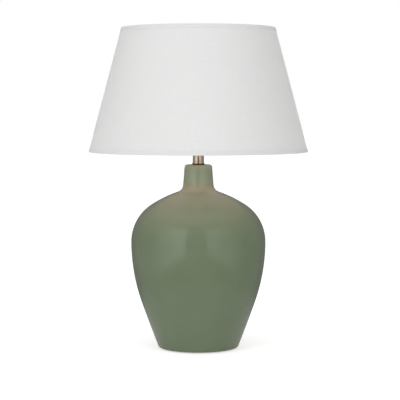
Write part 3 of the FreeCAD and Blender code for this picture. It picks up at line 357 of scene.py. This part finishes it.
def wound(name, section, foot, pitch, turns, steps=48):
    """A closed (radius, height) section, wound up about the upright axis and closed at both ends."""
    bpy.ops.object.select_all(action="DESELECT")
    bpy.ops.mesh.primitive_circle_add(vertices=len(section), radius=MM, fill_type="NOTHING")
    piece = bpy.context.object
    piece.name = piece.data.name = name
    for vertex, (across, up) in zip(piece.data.vertices, section):
        vertex.co = (across * MM, 0, (foot + up) * MM)
    apply_modifier(piece, "SCREW", angle=math.tau * turns, screw_offset=pitch * turns * MM,
                   steps=round(steps * turns), render_steps=round(steps * turns), use_merge_vertices=False)
    bpy.ops.object.mode_set(mode="EDIT")
    bpy.ops.mesh.select_all(action="DESELECT")
    bpy.ops.mesh.select_mode(type="EDGE")
    bpy.ops.mesh.select_non_manifold(extend=False)
    bpy.ops.mesh.fill_holes(sides=0)
    bpy.ops.mesh.select_all(action="SELECT")
    bpy.ops.mesh.normals_make_consistent(inside=False)
    bpy.ops.mesh.select_mode(type="VERT")
    bpy.ops.object.mode_set(mode="OBJECT")
    bpy.ops.object.shade_smooth_by_angle(angle=math.radians(30))
    return piece


def join(piece, *others):
    """Join other meshes into a piece."""
    bpy.ops.object.select_all(action="DESELECT")
    for other in others:
        other.select_set(True)
    piece.select_set(True)
    bpy.context.view_layer.objects.active = piece
    bpy.ops.object.join()


join(sleeve, wound("sleeve_thread", [(18.85, -0.95), (19.7, -0.35), (19.7, 0.35), (18.85, 0.95)],
                   foot=389.8, pitch=2.5, turns=11))

# Moulded thermoplastic polyester: warm white, satin, with a very fine spark-eroded grain from the mould.
moulding, tree, shader = finish("moulded_white_plastic", roughness=0.42, ior=1.5)
place = add(tree, "TexCoord", {}).outputs["Object"]
flow = add(tree, "TexNoise", {"Vector": place, "Scale": 1 / (12 * MM), "Detail": 2.0}).outputs[0]
colour = add(tree, "Mix", {0: flow, 6: linear("#E5E2DA"), 7: linear("#ECEAE3")}, data_type="RGBA").outputs[2]
grain = add(tree, "TexNoise", {"Vector": place, "Scale": 1 / (0.35 * MM), "Detail": 2.0}).outputs[0]
connect(shader, {"Base Color": colour, "Normal": add(
    tree, "Bump", {"Strength": 0.25, "Distance": 0.03 * MM, "Height": grain}).outputs[0]})
for piece, node in ((cap, "holder_cap"), (sleeve, "holder_skirt")):
    piece.data.materials.append(moulding)
    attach(piece, "lamp_base")
    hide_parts(node)

# Steatite ceramic, pressed and fired without glaze: chalky, with fine grit.
steatite, tree, shader = finish("unglazed_steatite", roughness=0.8)
place = add(tree, "TexCoord", {}).outputs["Object"]
grit = add(tree, "TexNoise", {"Vector": place, "Scale": 1 / (0.6 * MM), "Detail": 4.0}).outputs[0]
colour = add(tree, "Mix", {0: grit, 6: linear("#DAD5CB"), 7: linear("#EAE6DD")}, data_type="RGBA").outputs[2]
connect(shader, {"Base Color": colour, "Normal": add(
    tree, "Bump", {"Strength": 0.4, "Distance": 0.05 * MM, "Height": grit}).outputs[0]})
dress(steatite, "holder_core")

# Half-hard sheet brass, stamped and left plain: yellower than the lacquered neck, with rolling marks.
sheet_brass, tree, shader = finish("plain_sheet_brass", metallic=1.0)
place = add(tree, "TexCoord", {}).outputs["Object"]
along = add(tree, "Mapping", {"Vector": place, "Scale": (9, 9, 1)}).outputs[0]
rolling = add(tree, "TexNoise", {"Vector": along, "Scale": 1 / (4 * MM), "Detail": 2.0}).outputs[0]
colour = add(tree, "Mix", {0: rolling, 6: linear("#C9A86A"), 7: linear("#DBBD80")},
             data_type="RGBA").outputs[2]
rough = add(tree, "MapRange", {0: rolling, 1: 0.3, 2: 0.7, 3: 0.25, 4: 0.4}).outputs[0]
connect(shader, {"Base Color": colour, "Roughness": rough})
dress(sheet_brass, "holder_terminals", "holder_shell_rivets", "holder_screw_shell", "holder_centre_contact")
dress(zinc, "holder_grub_screw", "holder_terminal_screws")


# ---------------------------------------------------------------- shade
# Tapered drum of white cotton cloth, laminated on a stiff lining sheet and rolled over two steel hoops.
# Its cut is a sector of a ring, so the weave runs straight down at the front and slants towards the
# overlap down the back.

SHADE_FOOT, SHADE_HEIGHT = 359.0, 225.0
SHADE_RADIUS, SHADE_TOP_RADIUS = 200.0, 140.0
TAPER = (SHADE_RADIUS - SHADE_TOP_RADIUS) / SHADE_HEIGHT
SECTOR = TAPER / math.hypot(1, TAPER)


def on_shade(depth, rise):
    """The place this deep under the shade's outer face and this high over its lower edge."""
    return SHADE_RADIUS - rise * TAPER - depth, SHADE_FOOT + rise


def unroll(piece):
    """Lay the weave on a piece of the cone: its texture place is its place on the flat cut, in metres."""
    layer = piece.data.uv_layers.active or piece.data.uv_layers.new(name="flat_cut")
    for face in piece.data.polygons:
        for loop in face.loop_indices:
            across, along, _ = piece.data.vertices[piece.data.loops[loop].vertex_index].co
            side = math.copysign(1, face.center.x)
            bearing = side * abs(math.atan2(across, -along)) * SECTOR
            reach = math.hypot(across, along) / SECTOR
            layer.data[loop].uv = (reach * math.sin(bearing), -reach * math.cos(bearing))


HEM, CLOTH, LINING, AIR = 0.4, 0.6, 0.5, 0.05
low, high = on_shade(HEM, HEM), on_shade(HEM, SHADE_HEIGHT - HEM)
bpy.ops.object.select_all(action="DESELECT")
bpy.ops.mesh.primitive_cone_add(
    vertices=192, radius1=low[0] * MM, radius2=high[0] * MM, depth=(high[1] - low[1]) * MM,
    end_fill_type="NOTHING", location=(0, 0, (low[1] + high[1]) / 2 * MM))
cloth = bpy.context.object
cloth.name = cloth.data.name = "shade_cloth"
aim(cloth, cloth.location / MM, (0, 0, 0))
apply_modifier(cloth, "SOLIDIFY", thickness=CLOTH * MM, offset=-1)
bpy.ops.object.shade_smooth_by_angle(angle=math.radians(30))
unroll(cloth)

lining = turned("shade_lining_sheet", [
    on_shade(HEM + CLOTH + AIR, HEM), on_shade(HEM + CLOTH + LINING, HEM),
    on_shade(HEM + CLOTH + LINING, SHADE_HEIGHT - HEM),
    on_shade(HEM + CLOTH + AIR, SHADE_HEIGHT - HEM)], 192)

# A hem strip goes down the outside, round the edge and the hoop, and back on the lining. The lower one
# is notched where the three arms pass in to the hoop.
HEM_FOLD = [(0, 0, 1.0), (0, 7.0, 0.15), (0.4, 7.0, 0.15), (0.4, 0.4, 0.5), (4.7, 0.4, 0.8), (4.7, 3.6, 0.8),
            (1.5, 7.0, 0), (1.9, 7.0, 0.1), (5.1, 3.6, 1.2), (5.1, 0, 1.2)]
lower_hem = turned("lower_hem", rounded([
    (*on_shade(depth, rise), size) for depth, rise, size in HEM_FOLD]), 192)
upper_hem = turned("upper_hem", rounded([
    (*on_shade(depth, SHADE_HEIGHT - rise), size) for depth, rise, size in HEM_FOLD]), 192)
ARM_BEARINGS = [math.radians(degrees) for degrees in (90, 210, 330)]
for bearing in ARM_BEARINGS:
    cut_out(lower_hem, aim(turned("arm_cutter", [(0, 188), (2.25, 188), (2.25, 196), (0, 196)], 32),
                           (0, 0, SHADE_FOOT + 2.0), (0, math.pi / 2, bearing)))
for hem in (lower_hem, upper_hem):
    unroll(hem)

# The overlap's folded edge down the middle of the back, between the hems.
bpy.ops.object.select_all(action="DESELECT")
bpy.ops.mesh.primitive_cone_add(
    vertices=360, radius1=on_shade(HEM, 7.0)[0] * MM, radius2=on_shade(HEM, SHADE_HEIGHT - 7.0)[0] * MM,
    depth=(SHADE_HEIGHT - 14.0) * MM, end_fill_type="NOTHING",
    location=(0, 0, (SHADE_FOOT + SHADE_HEIGHT / 2) * MM))
seam = bpy.context.object
seam.name = seam.data.name = "shade_overlap"
aim(seam, seam.location / MM, (0, 0, 0))
bpy.ops.object.mode_set(mode="EDIT")
for across, keep_inner in ((-5.0, True), (5.0, False)):
    bpy.ops.mesh.select_all(action="SELECT")
    bpy.ops.mesh.bisect(plane_co=(across * MM, 0, 0), plane_no=(1, 0, 0), clear_inner=keep_inner,
                        clear_outer=not keep_inner)
bpy.ops.mesh.select_all(action="SELECT")
bpy.ops.mesh.bisect(plane_co=(0, 0, 0), plane_no=(0, 1, 0), clear_inner=True)
bpy.ops.object.mode_set(mode="OBJECT")
apply_modifier(seam, "SOLIDIFY", thickness=0.38 * MM, offset=1)
apply_modifier(seam, "BEVEL", width=0.15 * MM, segments=3, limit_method="ANGLE", angle_limit=math.radians(40))
bpy.ops.object.shade_smooth_by_angle(angle=math.radians(30))
unroll(seam)

# Fine plain-weave cotton: matt white, a thread every 0.45 mm. That is too fine to show at the picture's
# size, so the threads are drawn 1.2 mm apart, with the uneven slubs of spun yarn along both. Part of the
# light passes through it and through the lining, so the shade is light inside too.
THROUGH = 0.4
cotton, tree, shader = finish("plain_weave_cotton", roughness=0.9, specular_ior_level=0.15, sheen_weight=0.15,
                              sheen_roughness=0.5)
flat_cut = add(tree, "TexCoord", {}).outputs["UV"]
threads = []
slubs = []
for direction, stretch in (("X", (1, 18, 1)), ("Y", (18, 1, 1))):
    band = add(tree, "TexWave", {"Vector": flat_cut, "Scale": BANDS_A_METRE_APART / (1.2 * MM),
                                 "Distortion": 0.3, "Detail": 1.0},
               wave_type="BANDS", bands_direction=direction).outputs["Fac"]
    threads.append(band)
    along = add(tree, "Mapping", {"Vector": flat_cut, "Scale": [1 / share for share in stretch]}).outputs[0]
    slubs.append(add(tree, "TexNoise", {"Vector": along, "Scale": 1 / (1.8 * MM), "Detail": 2.0}).outputs[0])
weave = add(tree, "Math", {0: threads[0], 1: threads[1]}, operation="MULTIPLY").outputs[0]
yarn = add(tree, "Math", {0: slubs[0], 1: slubs[1]}, operation="ADD").outputs[0]
surface = add(tree, "Math", {0: yarn, 1: weave}, operation="ADD").outputs[0]
tone = add(tree, "MapRange", {0: yarn, 1: 0.6, 2: 1.4, 3: 0.0, 4: 1.0}).outputs[0]
colour = add(tree, "Mix", {0: tone, 6: linear("#F4F4F5"), 7: linear("#F9F9F9")}, data_type="RGBA").outputs[2]
bumps = add(tree, "Bump", {"Strength": 0.07, "Distance": 0.1 * MM, "Height": surface}).outputs[0]
connect(shader, {"Base Color": colour, "Normal": bumps})
let_through = add(tree, "BsdfTranslucent", {"Color": colour, "Normal": bumps}).outputs[0]
connect(tree.nodes["Material Output"], {"Surface": add(
    tree, "MixShader", {0: THROUGH, 1: shader.outputs[0], 2: let_through}).outputs[0]})
for piece, slot, nodes in ((cloth, "shade_cloth", ["shade_fabric"]),
                           (lower_hem, "shade_tape", ["shade_bottom_hem"]),
                           (upper_hem, "shade_tape", ["shade_top_hem"]),
                           (seam, "shade_cloth", ["shade_seam_strip"])):
    piece.data.materials.append(cotton)
    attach(piece, "shade")
    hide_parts(*nodes)

# Styrene lining sheet: smooth and satin, a warm white that tints the light inside the shade.
styrene, tree, shader = finish("styrene_lining", roughness=0.5, ior=1.55)
place = add(tree, "TexCoord", {}).outputs["Object"]
mottle = add(tree, "TexNoise", {"Vector": place, "Scale": 1 / (30 * MM), "Detail": 3.0}).outputs[0]
colour = add(tree, "Mix", {0: mottle, 6: linear("#F9F5EC"), 7: linear("#FBF8F2")},
             data_type="RGBA").outputs[2]
grain = add(tree, "TexNoise", {"Vector": place, "Scale": 1 / (1.5 * MM), "Detail": 2.0}).outputs[0]
bumps = add(tree, "Bump", {"Strength": 0.15, "Distance": 0.04 * MM, "Height": grain}).outputs[0]
connect(shader, {"Base Color": colour, "Normal": bumps})
let_through = add(tree, "BsdfTranslucent", {"Color": colour, "Normal": bumps}).outputs[0]
connect(tree.nodes["Material Output"], {"Surface": add(
    tree, "MixShader", {0: THROUGH, 1: shader.outputs[0], 2: let_through}).outputs[0]})
lining.data.materials.append(styrene)
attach(lining, "shade")
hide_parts("shade_liner")


# ---------------------------------------------------------------- fitter
# Pressed steel ring with a turned-down rim, and three bent wires welded to it and to the lower hoop,
# all dipped in white enamel with the hoops.

fitter = turned("fitter_plate", rounded([
    (20.75, 386.8, 0.2), (30.0, 386.8, 0.3), (30.0, 384.4, 0.2), (31.0, 384.4, 0.3), (31.0, 388.0, 1.1),
    (20.75, 388.0, 0.3)]), 128)

# Baked white enamel on steel: glossy, with slight runs and sag.
enamel, tree, shader = finish("white_enamel", roughness=0.28, ior=1.5)
place = add(tree, "TexCoord", {}).outputs["Object"]
runs = add(tree, "TexNoise", {"Vector": place, "Scale": 1 / (6 * MM), "Detail": 2.0}).outputs[0]
colour = add(tree, "Mix", {0: runs, 6: linear("#E3E2DD"), 7: linear("#EDECE8")}, data_type="RGBA").outputs[2]
connect(shader, {"Base Color": colour, "Normal": add(
    tree, "Bump", {"Strength": 0.3, "Distance": 0.08 * MM, "Height": runs}).outputs[0]})
fitter.data.materials.append(enamel)
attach(fitter, "shade")
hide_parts("fitter_ring")
dress(enamel, "fitter_arms", "shade_bottom_wire", "shade_top_wire")


# ---------------------------------------------------------------- shade ring
# Moulded ring that screws down the sleeve and clamps the fitter on the shoulder. Twelve finger grips are
# let into its flange.

shade_ring = turned("clamp_ring", rounded([
    (20.0, 388.3, 0.3), (28.5, 388.3, 0.5), (28.5, 391.3, 0.8), (23.5, 391.3, 0.8), (23.5, 396.3, 0.7),
    (20.0, 396.3, 0.4)]), 144)
for grip in range(12):
    bearing = math.radians(30 * grip - 90)
    cut_out(shade_ring, aim(turned("grip_cutter", [(0, -1), (2.0, -1), (2.0, 4), (0, 4)], 24),
                            (29.5 * math.cos(bearing), 29.5 * math.sin(bearing), 388.3), (0, 0, 0)))
shade_ring.data.materials.append(moulding)
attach(shade_ring, "shade_ring")
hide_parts("shade_clamp_ring")


# ---------------------------------------------------------------- bulb
# Lamp with a drawn aluminium screw cap, a flared white housing, an opal globe and a ring of emitters on a
# round board inside.

# The cap's thread is rolled into the sheet, so the wall itself winds in and out, 3.63 mm a turn.
screw_cap = turned("screw_cap", rounded([
    (8.0, 398.4, 0), (11.2, 398.4, 0.8), (12.35, 400.0, 0.4), (12.35, 416.0, 0), (13.1, 416.9, 0.4),
    (13.1, 420.0, 0.1), (12.7, 420.0, 0), (12.7, 417.4, 0), (11.95, 416.2, 0), (11.95, 400.6, 0),
    (10.8, 398.8, 0), (8.0, 398.8, 0)]), 96)
join(screw_cap, wound("cap_thread", [
    (12.25, -1.5), (12.6, -1.15), (12.95, -0.6), (13.08, 0), (12.95, 0.6), (12.6, 1.15), (12.25, 1.5)],
    foot=401.6, pitch=3.629, turns=3.6, steps=64))

# Drawn aluminium: bright and slightly clouded by the rolling.
aluminium, tree, shader = finish("drawn_aluminium", metallic=1.0)
place = add(tree, "TexCoord", {}).outputs["Object"]
around = add(tree, "Mapping", {"Vector": place, "Scale": (1, 1, 8)}).outputs[0]
drawn = add(tree, "TexNoise", {"Vector": around, "Scale": 1 / (3 * MM), "Detail": 3.0}).outputs[0]
colour = add(tree, "Mix", {0: drawn, 6: linear("#D3D4D6"), 7: linear("#E6E7E9")}, data_type="RGBA").outputs[2]
rough = add(tree, "MapRange", {0: drawn, 1: 0.3, 2: 0.7, 3: 0.22, 4: 0.36}).outputs[0]
connect(shader, {"Base Color": colour, "Roughness": rough})
screw_cap.data.materials.append(aluminium)
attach(screw_cap, "bulb")
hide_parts("bulb_screw_cap")

# Black glass bead between cap and tip: nearly black, mirror smooth, with faint swirls.
bead, tree, shader = finish("black_glass_bead", roughness=0.08, ior=1.52)
place = add(tree, "TexCoord", {}).outputs["Object"]
swirl = add(tree, "TexNoise", {"Vector": place, "Scale": 1 / (5 * MM), "Detail": 2.0,
                               "Distortion": 3.0}).outputs[0]
colour = add(tree, "Mix", {0: swirl, 6: linear("#16161A"), 7: linear("#26262B")}, data_type="RGBA").outputs[2]
connect(shader, {"Base Color": colour})
dress(bead, "bulb_insulator")
dress(sheet_brass, "bulb_centre_contact")

outside = [(13.6, 420.3)]
heading = arc(outside, math.pi / 2, (18.0, 439.0), 12)
arc(outside, heading, (28.4, 463.0), 12)
inside = [(12.0, 420.0)]
heading = arc(inside, math.pi / 2, (16.4, 439.0), 8)
arc(inside, heading, (26.9, 462.6), 8)
housing = turned("bulb_body", [(11.0, 411.0), (12.6, 411.0), (12.6, 420.0), (13.3, 420.0)] + outside
                 + [(28.1, 463.5), (27.2, 463.5)] + inside[::-1] + [(11.0, 420.0)], 96)

# Moulded polycarbonate: bright white and glossy.
gloss, tree, shader = finish("glossy_polycarbonate", roughness=0.22, ior=1.58)
place = add(tree, "TexCoord", {}).outputs["Object"]
flow = add(tree, "TexNoise", {"Vector": place, "Scale": 1 / (15 * MM), "Detail": 2.0}).outputs[0]
colour = add(tree, "Mix", {0: flow, 6: linear("#E9E9E5"), 7: linear("#F0F0ED")}, data_type="RGBA").outputs[2]
connect(shader, {"Base Color": colour, "Normal": add(
    tree, "Bump", {"Strength": 0.1, "Distance": 0.05 * MM, "Height": flow}).outputs[0]})
housing.data.materials.append(gloss)
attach(housing, "bulb")
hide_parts("bulb_housing")

GLOBE, GLOBE_WALL, GLOBE_HEIGHT = 30.0, 1.6, 472.6
shell = []
for radius, start, stop in ((GLOBE - GLOBE_WALL, 90, -18.48), (GLOBE, -17.46, 90)):
    for step in range(25):
        lean = math.radians(start + (stop - start) * step / 24)
        shell.append((radius * max(math.cos(lean), 0.0) if abs(lean) < 1.57 else 0.0,
                      GLOBE_HEIGHT + radius * math.sin(lean)))
globe = turned("bulb_globe", shell, 96)

# Opal polycarbonate diffuser: milky, with a fine matt surface that hides the emitters.
opal, tree, shader = finish("opal_diffuser", roughness=0.45, ior=1.5)
place = add(tree, "TexCoord", {}).outputs["Object"]
milk = add(tree, "TexNoise", {"Vector": place, "Scale": 1 / (10 * MM), "Detail": 2.0}).outputs[0]
colour = add(tree, "Mix", {0: milk, 6: linear("#EEEEEA"), 7: linear("#F4F4F1")}, data_type="RGBA").outputs[2]
matt = add(tree, "TexNoise", {"Vector": place, "Scale": 1 / (0.4 * MM), "Detail": 2.0}).outputs[0]
connect(shader, {"Base Color": colour, "Normal": add(
    tree, "Bump", {"Strength": 0.2, "Distance": 0.02 * MM, "Height": matt}).outputs[0]})
globe.data.materials.append(opal)
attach(globe, "bulb")
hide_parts("bulb_dome")

# Aluminium board with white solder lacquer, faintly orange-peeled.
lacquer, tree, shader = finish("white_lacquered_board", roughness=0.35)
place = add(tree, "TexCoord", {}).outputs["Object"]
peel = add(tree, "TexNoise", {"Vector": place, "Scale": 1 / (1.2 * MM), "Detail": 2.0}).outputs[0]
colour = add(tree, "Mix", {0: peel, 6: linear("#E4E6E6"), 7: linear("#EFF0F0")}, data_type="RGBA").outputs[2]
connect(shader, {"Base Color": colour})
dress(lacquer, "bulb_led_board")

# Glass-epoxy circuit board under green solder lacquer, with the glass cloth's weave showing through.
epoxy, tree, shader = finish("green_circuit_board", roughness=0.3)
place = add(tree, "TexCoord", {}).outputs["Object"]
cloth_marks = add(tree, "TexChecker", {"Vector": place, "Scale": 1 / (0.5 * MM), "Color1": linear("#2E6B3C"),
                                       "Color2": linear("#38784A")}).outputs[0]
connect(shader, {"Base Color": cloth_marks})
dress(epoxy, "bulb_driver_board")


# ---------------------------------------------------------------- table, light and camera
# White studio table, two upright soft boxes in front to the left and right, plain light all round, and a
# camera with a long lens, a little above the middle of the lamp. Reflections get softer lights of their own.

bpy.ops.object.select_all(action="DESELECT")
bpy.ops.mesh.primitive_plane_add(size=40, location=(0, 0, -0.3 * MM))
table = bpy.context.object
table.name = table.data.name = "studio_table"
paper, tree, shader = finish("white_table_paper", roughness=0.9, specular_ior_level=0.1)
place = add(tree, "TexCoord", {}).outputs["Object"]
fibre = add(tree, "TexNoise", {"Vector": place, "Scale": 1 / (60 * MM), "Detail": 3.0}).outputs[0]
colour = add(tree, "Mix", {0: fibre, 6: linear("#F0F0F0"), 7: linear("#F3F3F3")}, data_type="RGBA").outputs[2]
seen = add(tree, "LightPath", {})
direct = add(tree, "Math", {0: seen.outputs["Is Camera Ray"], 1: seen.outputs["Is Transmission Ray"]},
             operation="MAXIMUM").outputs[0]
white = add(tree, "Math", {0: direct, 1: 0.5}, operation="MULTIPLY").outputs[0]
connect(shader, {"Base Color": colour, "Emission Color": linear("#FFFFFF"), "Emission Strength": white})
# In the glaze and the brass the table ends softly, close to the lamp. Beyond it they show the dark studio
# and the lower ends of the diffusing sheets. From below the table is clear, and so it is under the felt,
# which would be in the dark there.
reach = add(tree, "VectorMath", {0: place}, operation="LENGTH").outputs["Value"]
beyond = add(tree, "MapRange", {0: reach, 1: 0.08, 2: 0.4, 3: 0.0, 4: 1.0}).outputs[0]
beyond = add(tree, "Math", {0: beyond, 1: seen.outputs["Is Glossy Ray"]}, operation="MULTIPLY").outputs[0]
facing = add(tree, "NewGeometry", {}).outputs["Backfacing"]
under_felt = add(tree, "Math", {0: reach, 1: 61.0 * MM}, operation="LESS_THAN").outputs[0]
open_share = add(tree, "Math", {0: beyond, 1: facing}, operation="MAXIMUM").outputs[0]
open_share = add(tree, "Math", {0: open_share, 1: under_felt}, operation="MAXIMUM").outputs[0]
clear = add(tree, "BsdfTransparent", {}).outputs[0]
connect(tree.nodes["Material Output"], {"Surface": add(
    tree, "MixShader", {0: open_share, 1: shader.outputs[0], 2: clear}).outputs[0]})
table.data.materials.append(paper)

SOFT_BOXES = (("left_box", -37.0, 0.80, 1.75), ("right_box", 26.0, 0.62, 1.25))
for name, bearing, wide, level in SOFT_BOXES:
    tall, away = 1.5, 1.7
    light = bpy.data.lights.new(name, "AREA")
    light.shape = "RECTANGLE"
    light.size = wide
    light.size_y = tall
    light.energy = level * math.pi * wide * tall
    lamp = bpy.data.objects.new(name, light)
    bpy.context.scene.collection.objects.link(lamp)
    lamp.location = (away * math.sin(math.radians(bearing)), -away * math.cos(math.radians(bearing)), 0.80)
    lamp.visible_glossy = False
    lamp.rotation_euler = (Vector((0, 0, 0.40)) - lamp.location).to_track_quat("-Z", "Y").to_euler()

# The plain light comes from the front and from behind more than from the sides. Reflections show a dark
# studio with a large diffusing sheet at each side: bright near its inner edge, which is sharp, dimmer further
# round, and reaching lower there. Bearings and lifts are in degrees. Behind the lamp is plain white.
world = bpy.data.worlds.new("studio")
world.use_nodes = True
bpy.context.scene.world = world
tree = world.node_tree
tree.nodes.clear()
path = add(tree, "LightPath", {})
across, depth, up = add(tree, "SeparateXYZ", {0: add(tree, "TexCoord", {}).outputs["Generated"]}).outputs
from_front = add(tree, "MapRange", {0: depth, 1: -0.7, 2: 0.5, 3: 0.92, 4: 0.41}).outputs[0]
from_behind = add(tree, "MapRange", {0: depth, 1: 0.5, 2: 0.75, 3: 0.0, 4: 0.45}).outputs[0]
level = add(tree, "Math", {0: from_front, 1: from_behind}, operation="ADD").outputs[0]
plain = add(tree, "Background", {"Color": linear("#FFFFFF"), "Strength": level}).outputs[0]
front = add(tree, "Math", {0: depth, 1: -1.0}, operation="MULTIPLY").outputs[0]
bearing = add(tree, "Math", {0: across, 1: front}, operation="ARCTAN2").outputs[0]
bearing = add(tree, "Math", {0: bearing, 1: 180 / math.pi}, operation="MULTIPLY").outputs[0]
lift = add(tree, "Math", {0: up}, operation="ARCSINE").outputs[0]
lift = add(tree, "Math", {0: lift, 1: 180 / math.pi}, operation="MULTIPLY").outputs[0]
LOWER_A_DEGREE = 0.22
mirror_level = 0.16
for side, inner_edge, brightness in ((-1.0, 22.0, 1.05), (1.0, 15.0, 0.66)):
    turn = add(tree, "Math", {0: bearing, 1: side}, operation="MULTIPLY").outputs[0]
    sheet = add(tree, "MapRange", {0: turn, 1: inner_edge - 2, 2: inner_edge + 2,
                                   3: 0.0, 4: brightness}).outputs[0]
    low_edge = add(tree, "Math", {0: turn, 1: LOWER_A_DEGREE, 2: lift}, operation="MULTIPLY_ADD").outputs[0]
    for measure, start, stop, first, last in ((turn, 32, 84, 1.0, 0.12), (turn, 120, 140, 1.0, 0.0),
                                              (lift, 36, 46, 1.0, 0.0), (low_edge, -8, -2, 0.0, 1.0)):
        fade = add(tree, "MapRange", {0: measure, 1: start, 2: stop, 3: first, 4: last}).outputs[0]
        sheet = add(tree, "Math", {0: sheet, 1: fade}, operation="MULTIPLY").outputs[0]
    mirror_level = add(tree, "Math", {0: sheet, 1: mirror_level}, operation="ADD").outputs[0]
mirrored = add(tree, "Background", {"Color": linear("#FFFFFF"), "Strength": mirror_level}).outputs[0]
lit = add(tree, "MixShader", {0: path.outputs["Is Glossy Ray"], 1: plain, 2: mirrored}).outputs[0]
white = add(tree, "Background", {"Color": linear("#FFFFFF"), "Strength": 1.0}).outputs[0]
direct = add(tree, "Math", {0: path.outputs["Is Camera Ray"], 1: path.outputs["Is Transmission Ray"]},
             operation="MAXIMUM").outputs[0]
shown = add(tree, "MixShader", {0: direct, 1: lit, 2: white}).outputs[0]
connect(add(tree, "OutputWorld", {}), {"Surface": shown})

view = bpy.data.cameras.new("long_lens")
view.sensor_width = 36.0
view.lens = 126.3
camera = bpy.data.objects.new("camera", view)
bpy.context.scene.collection.objects.link(camera)
camera.location = (0.003, -2.560, 0.442)
camera.rotation_euler = (math.pi / 2 - 0.0667, 0, 0)
bpy.context.scene.camera = camera
bpy.context.scene.view_settings.view_transform = "Standard"
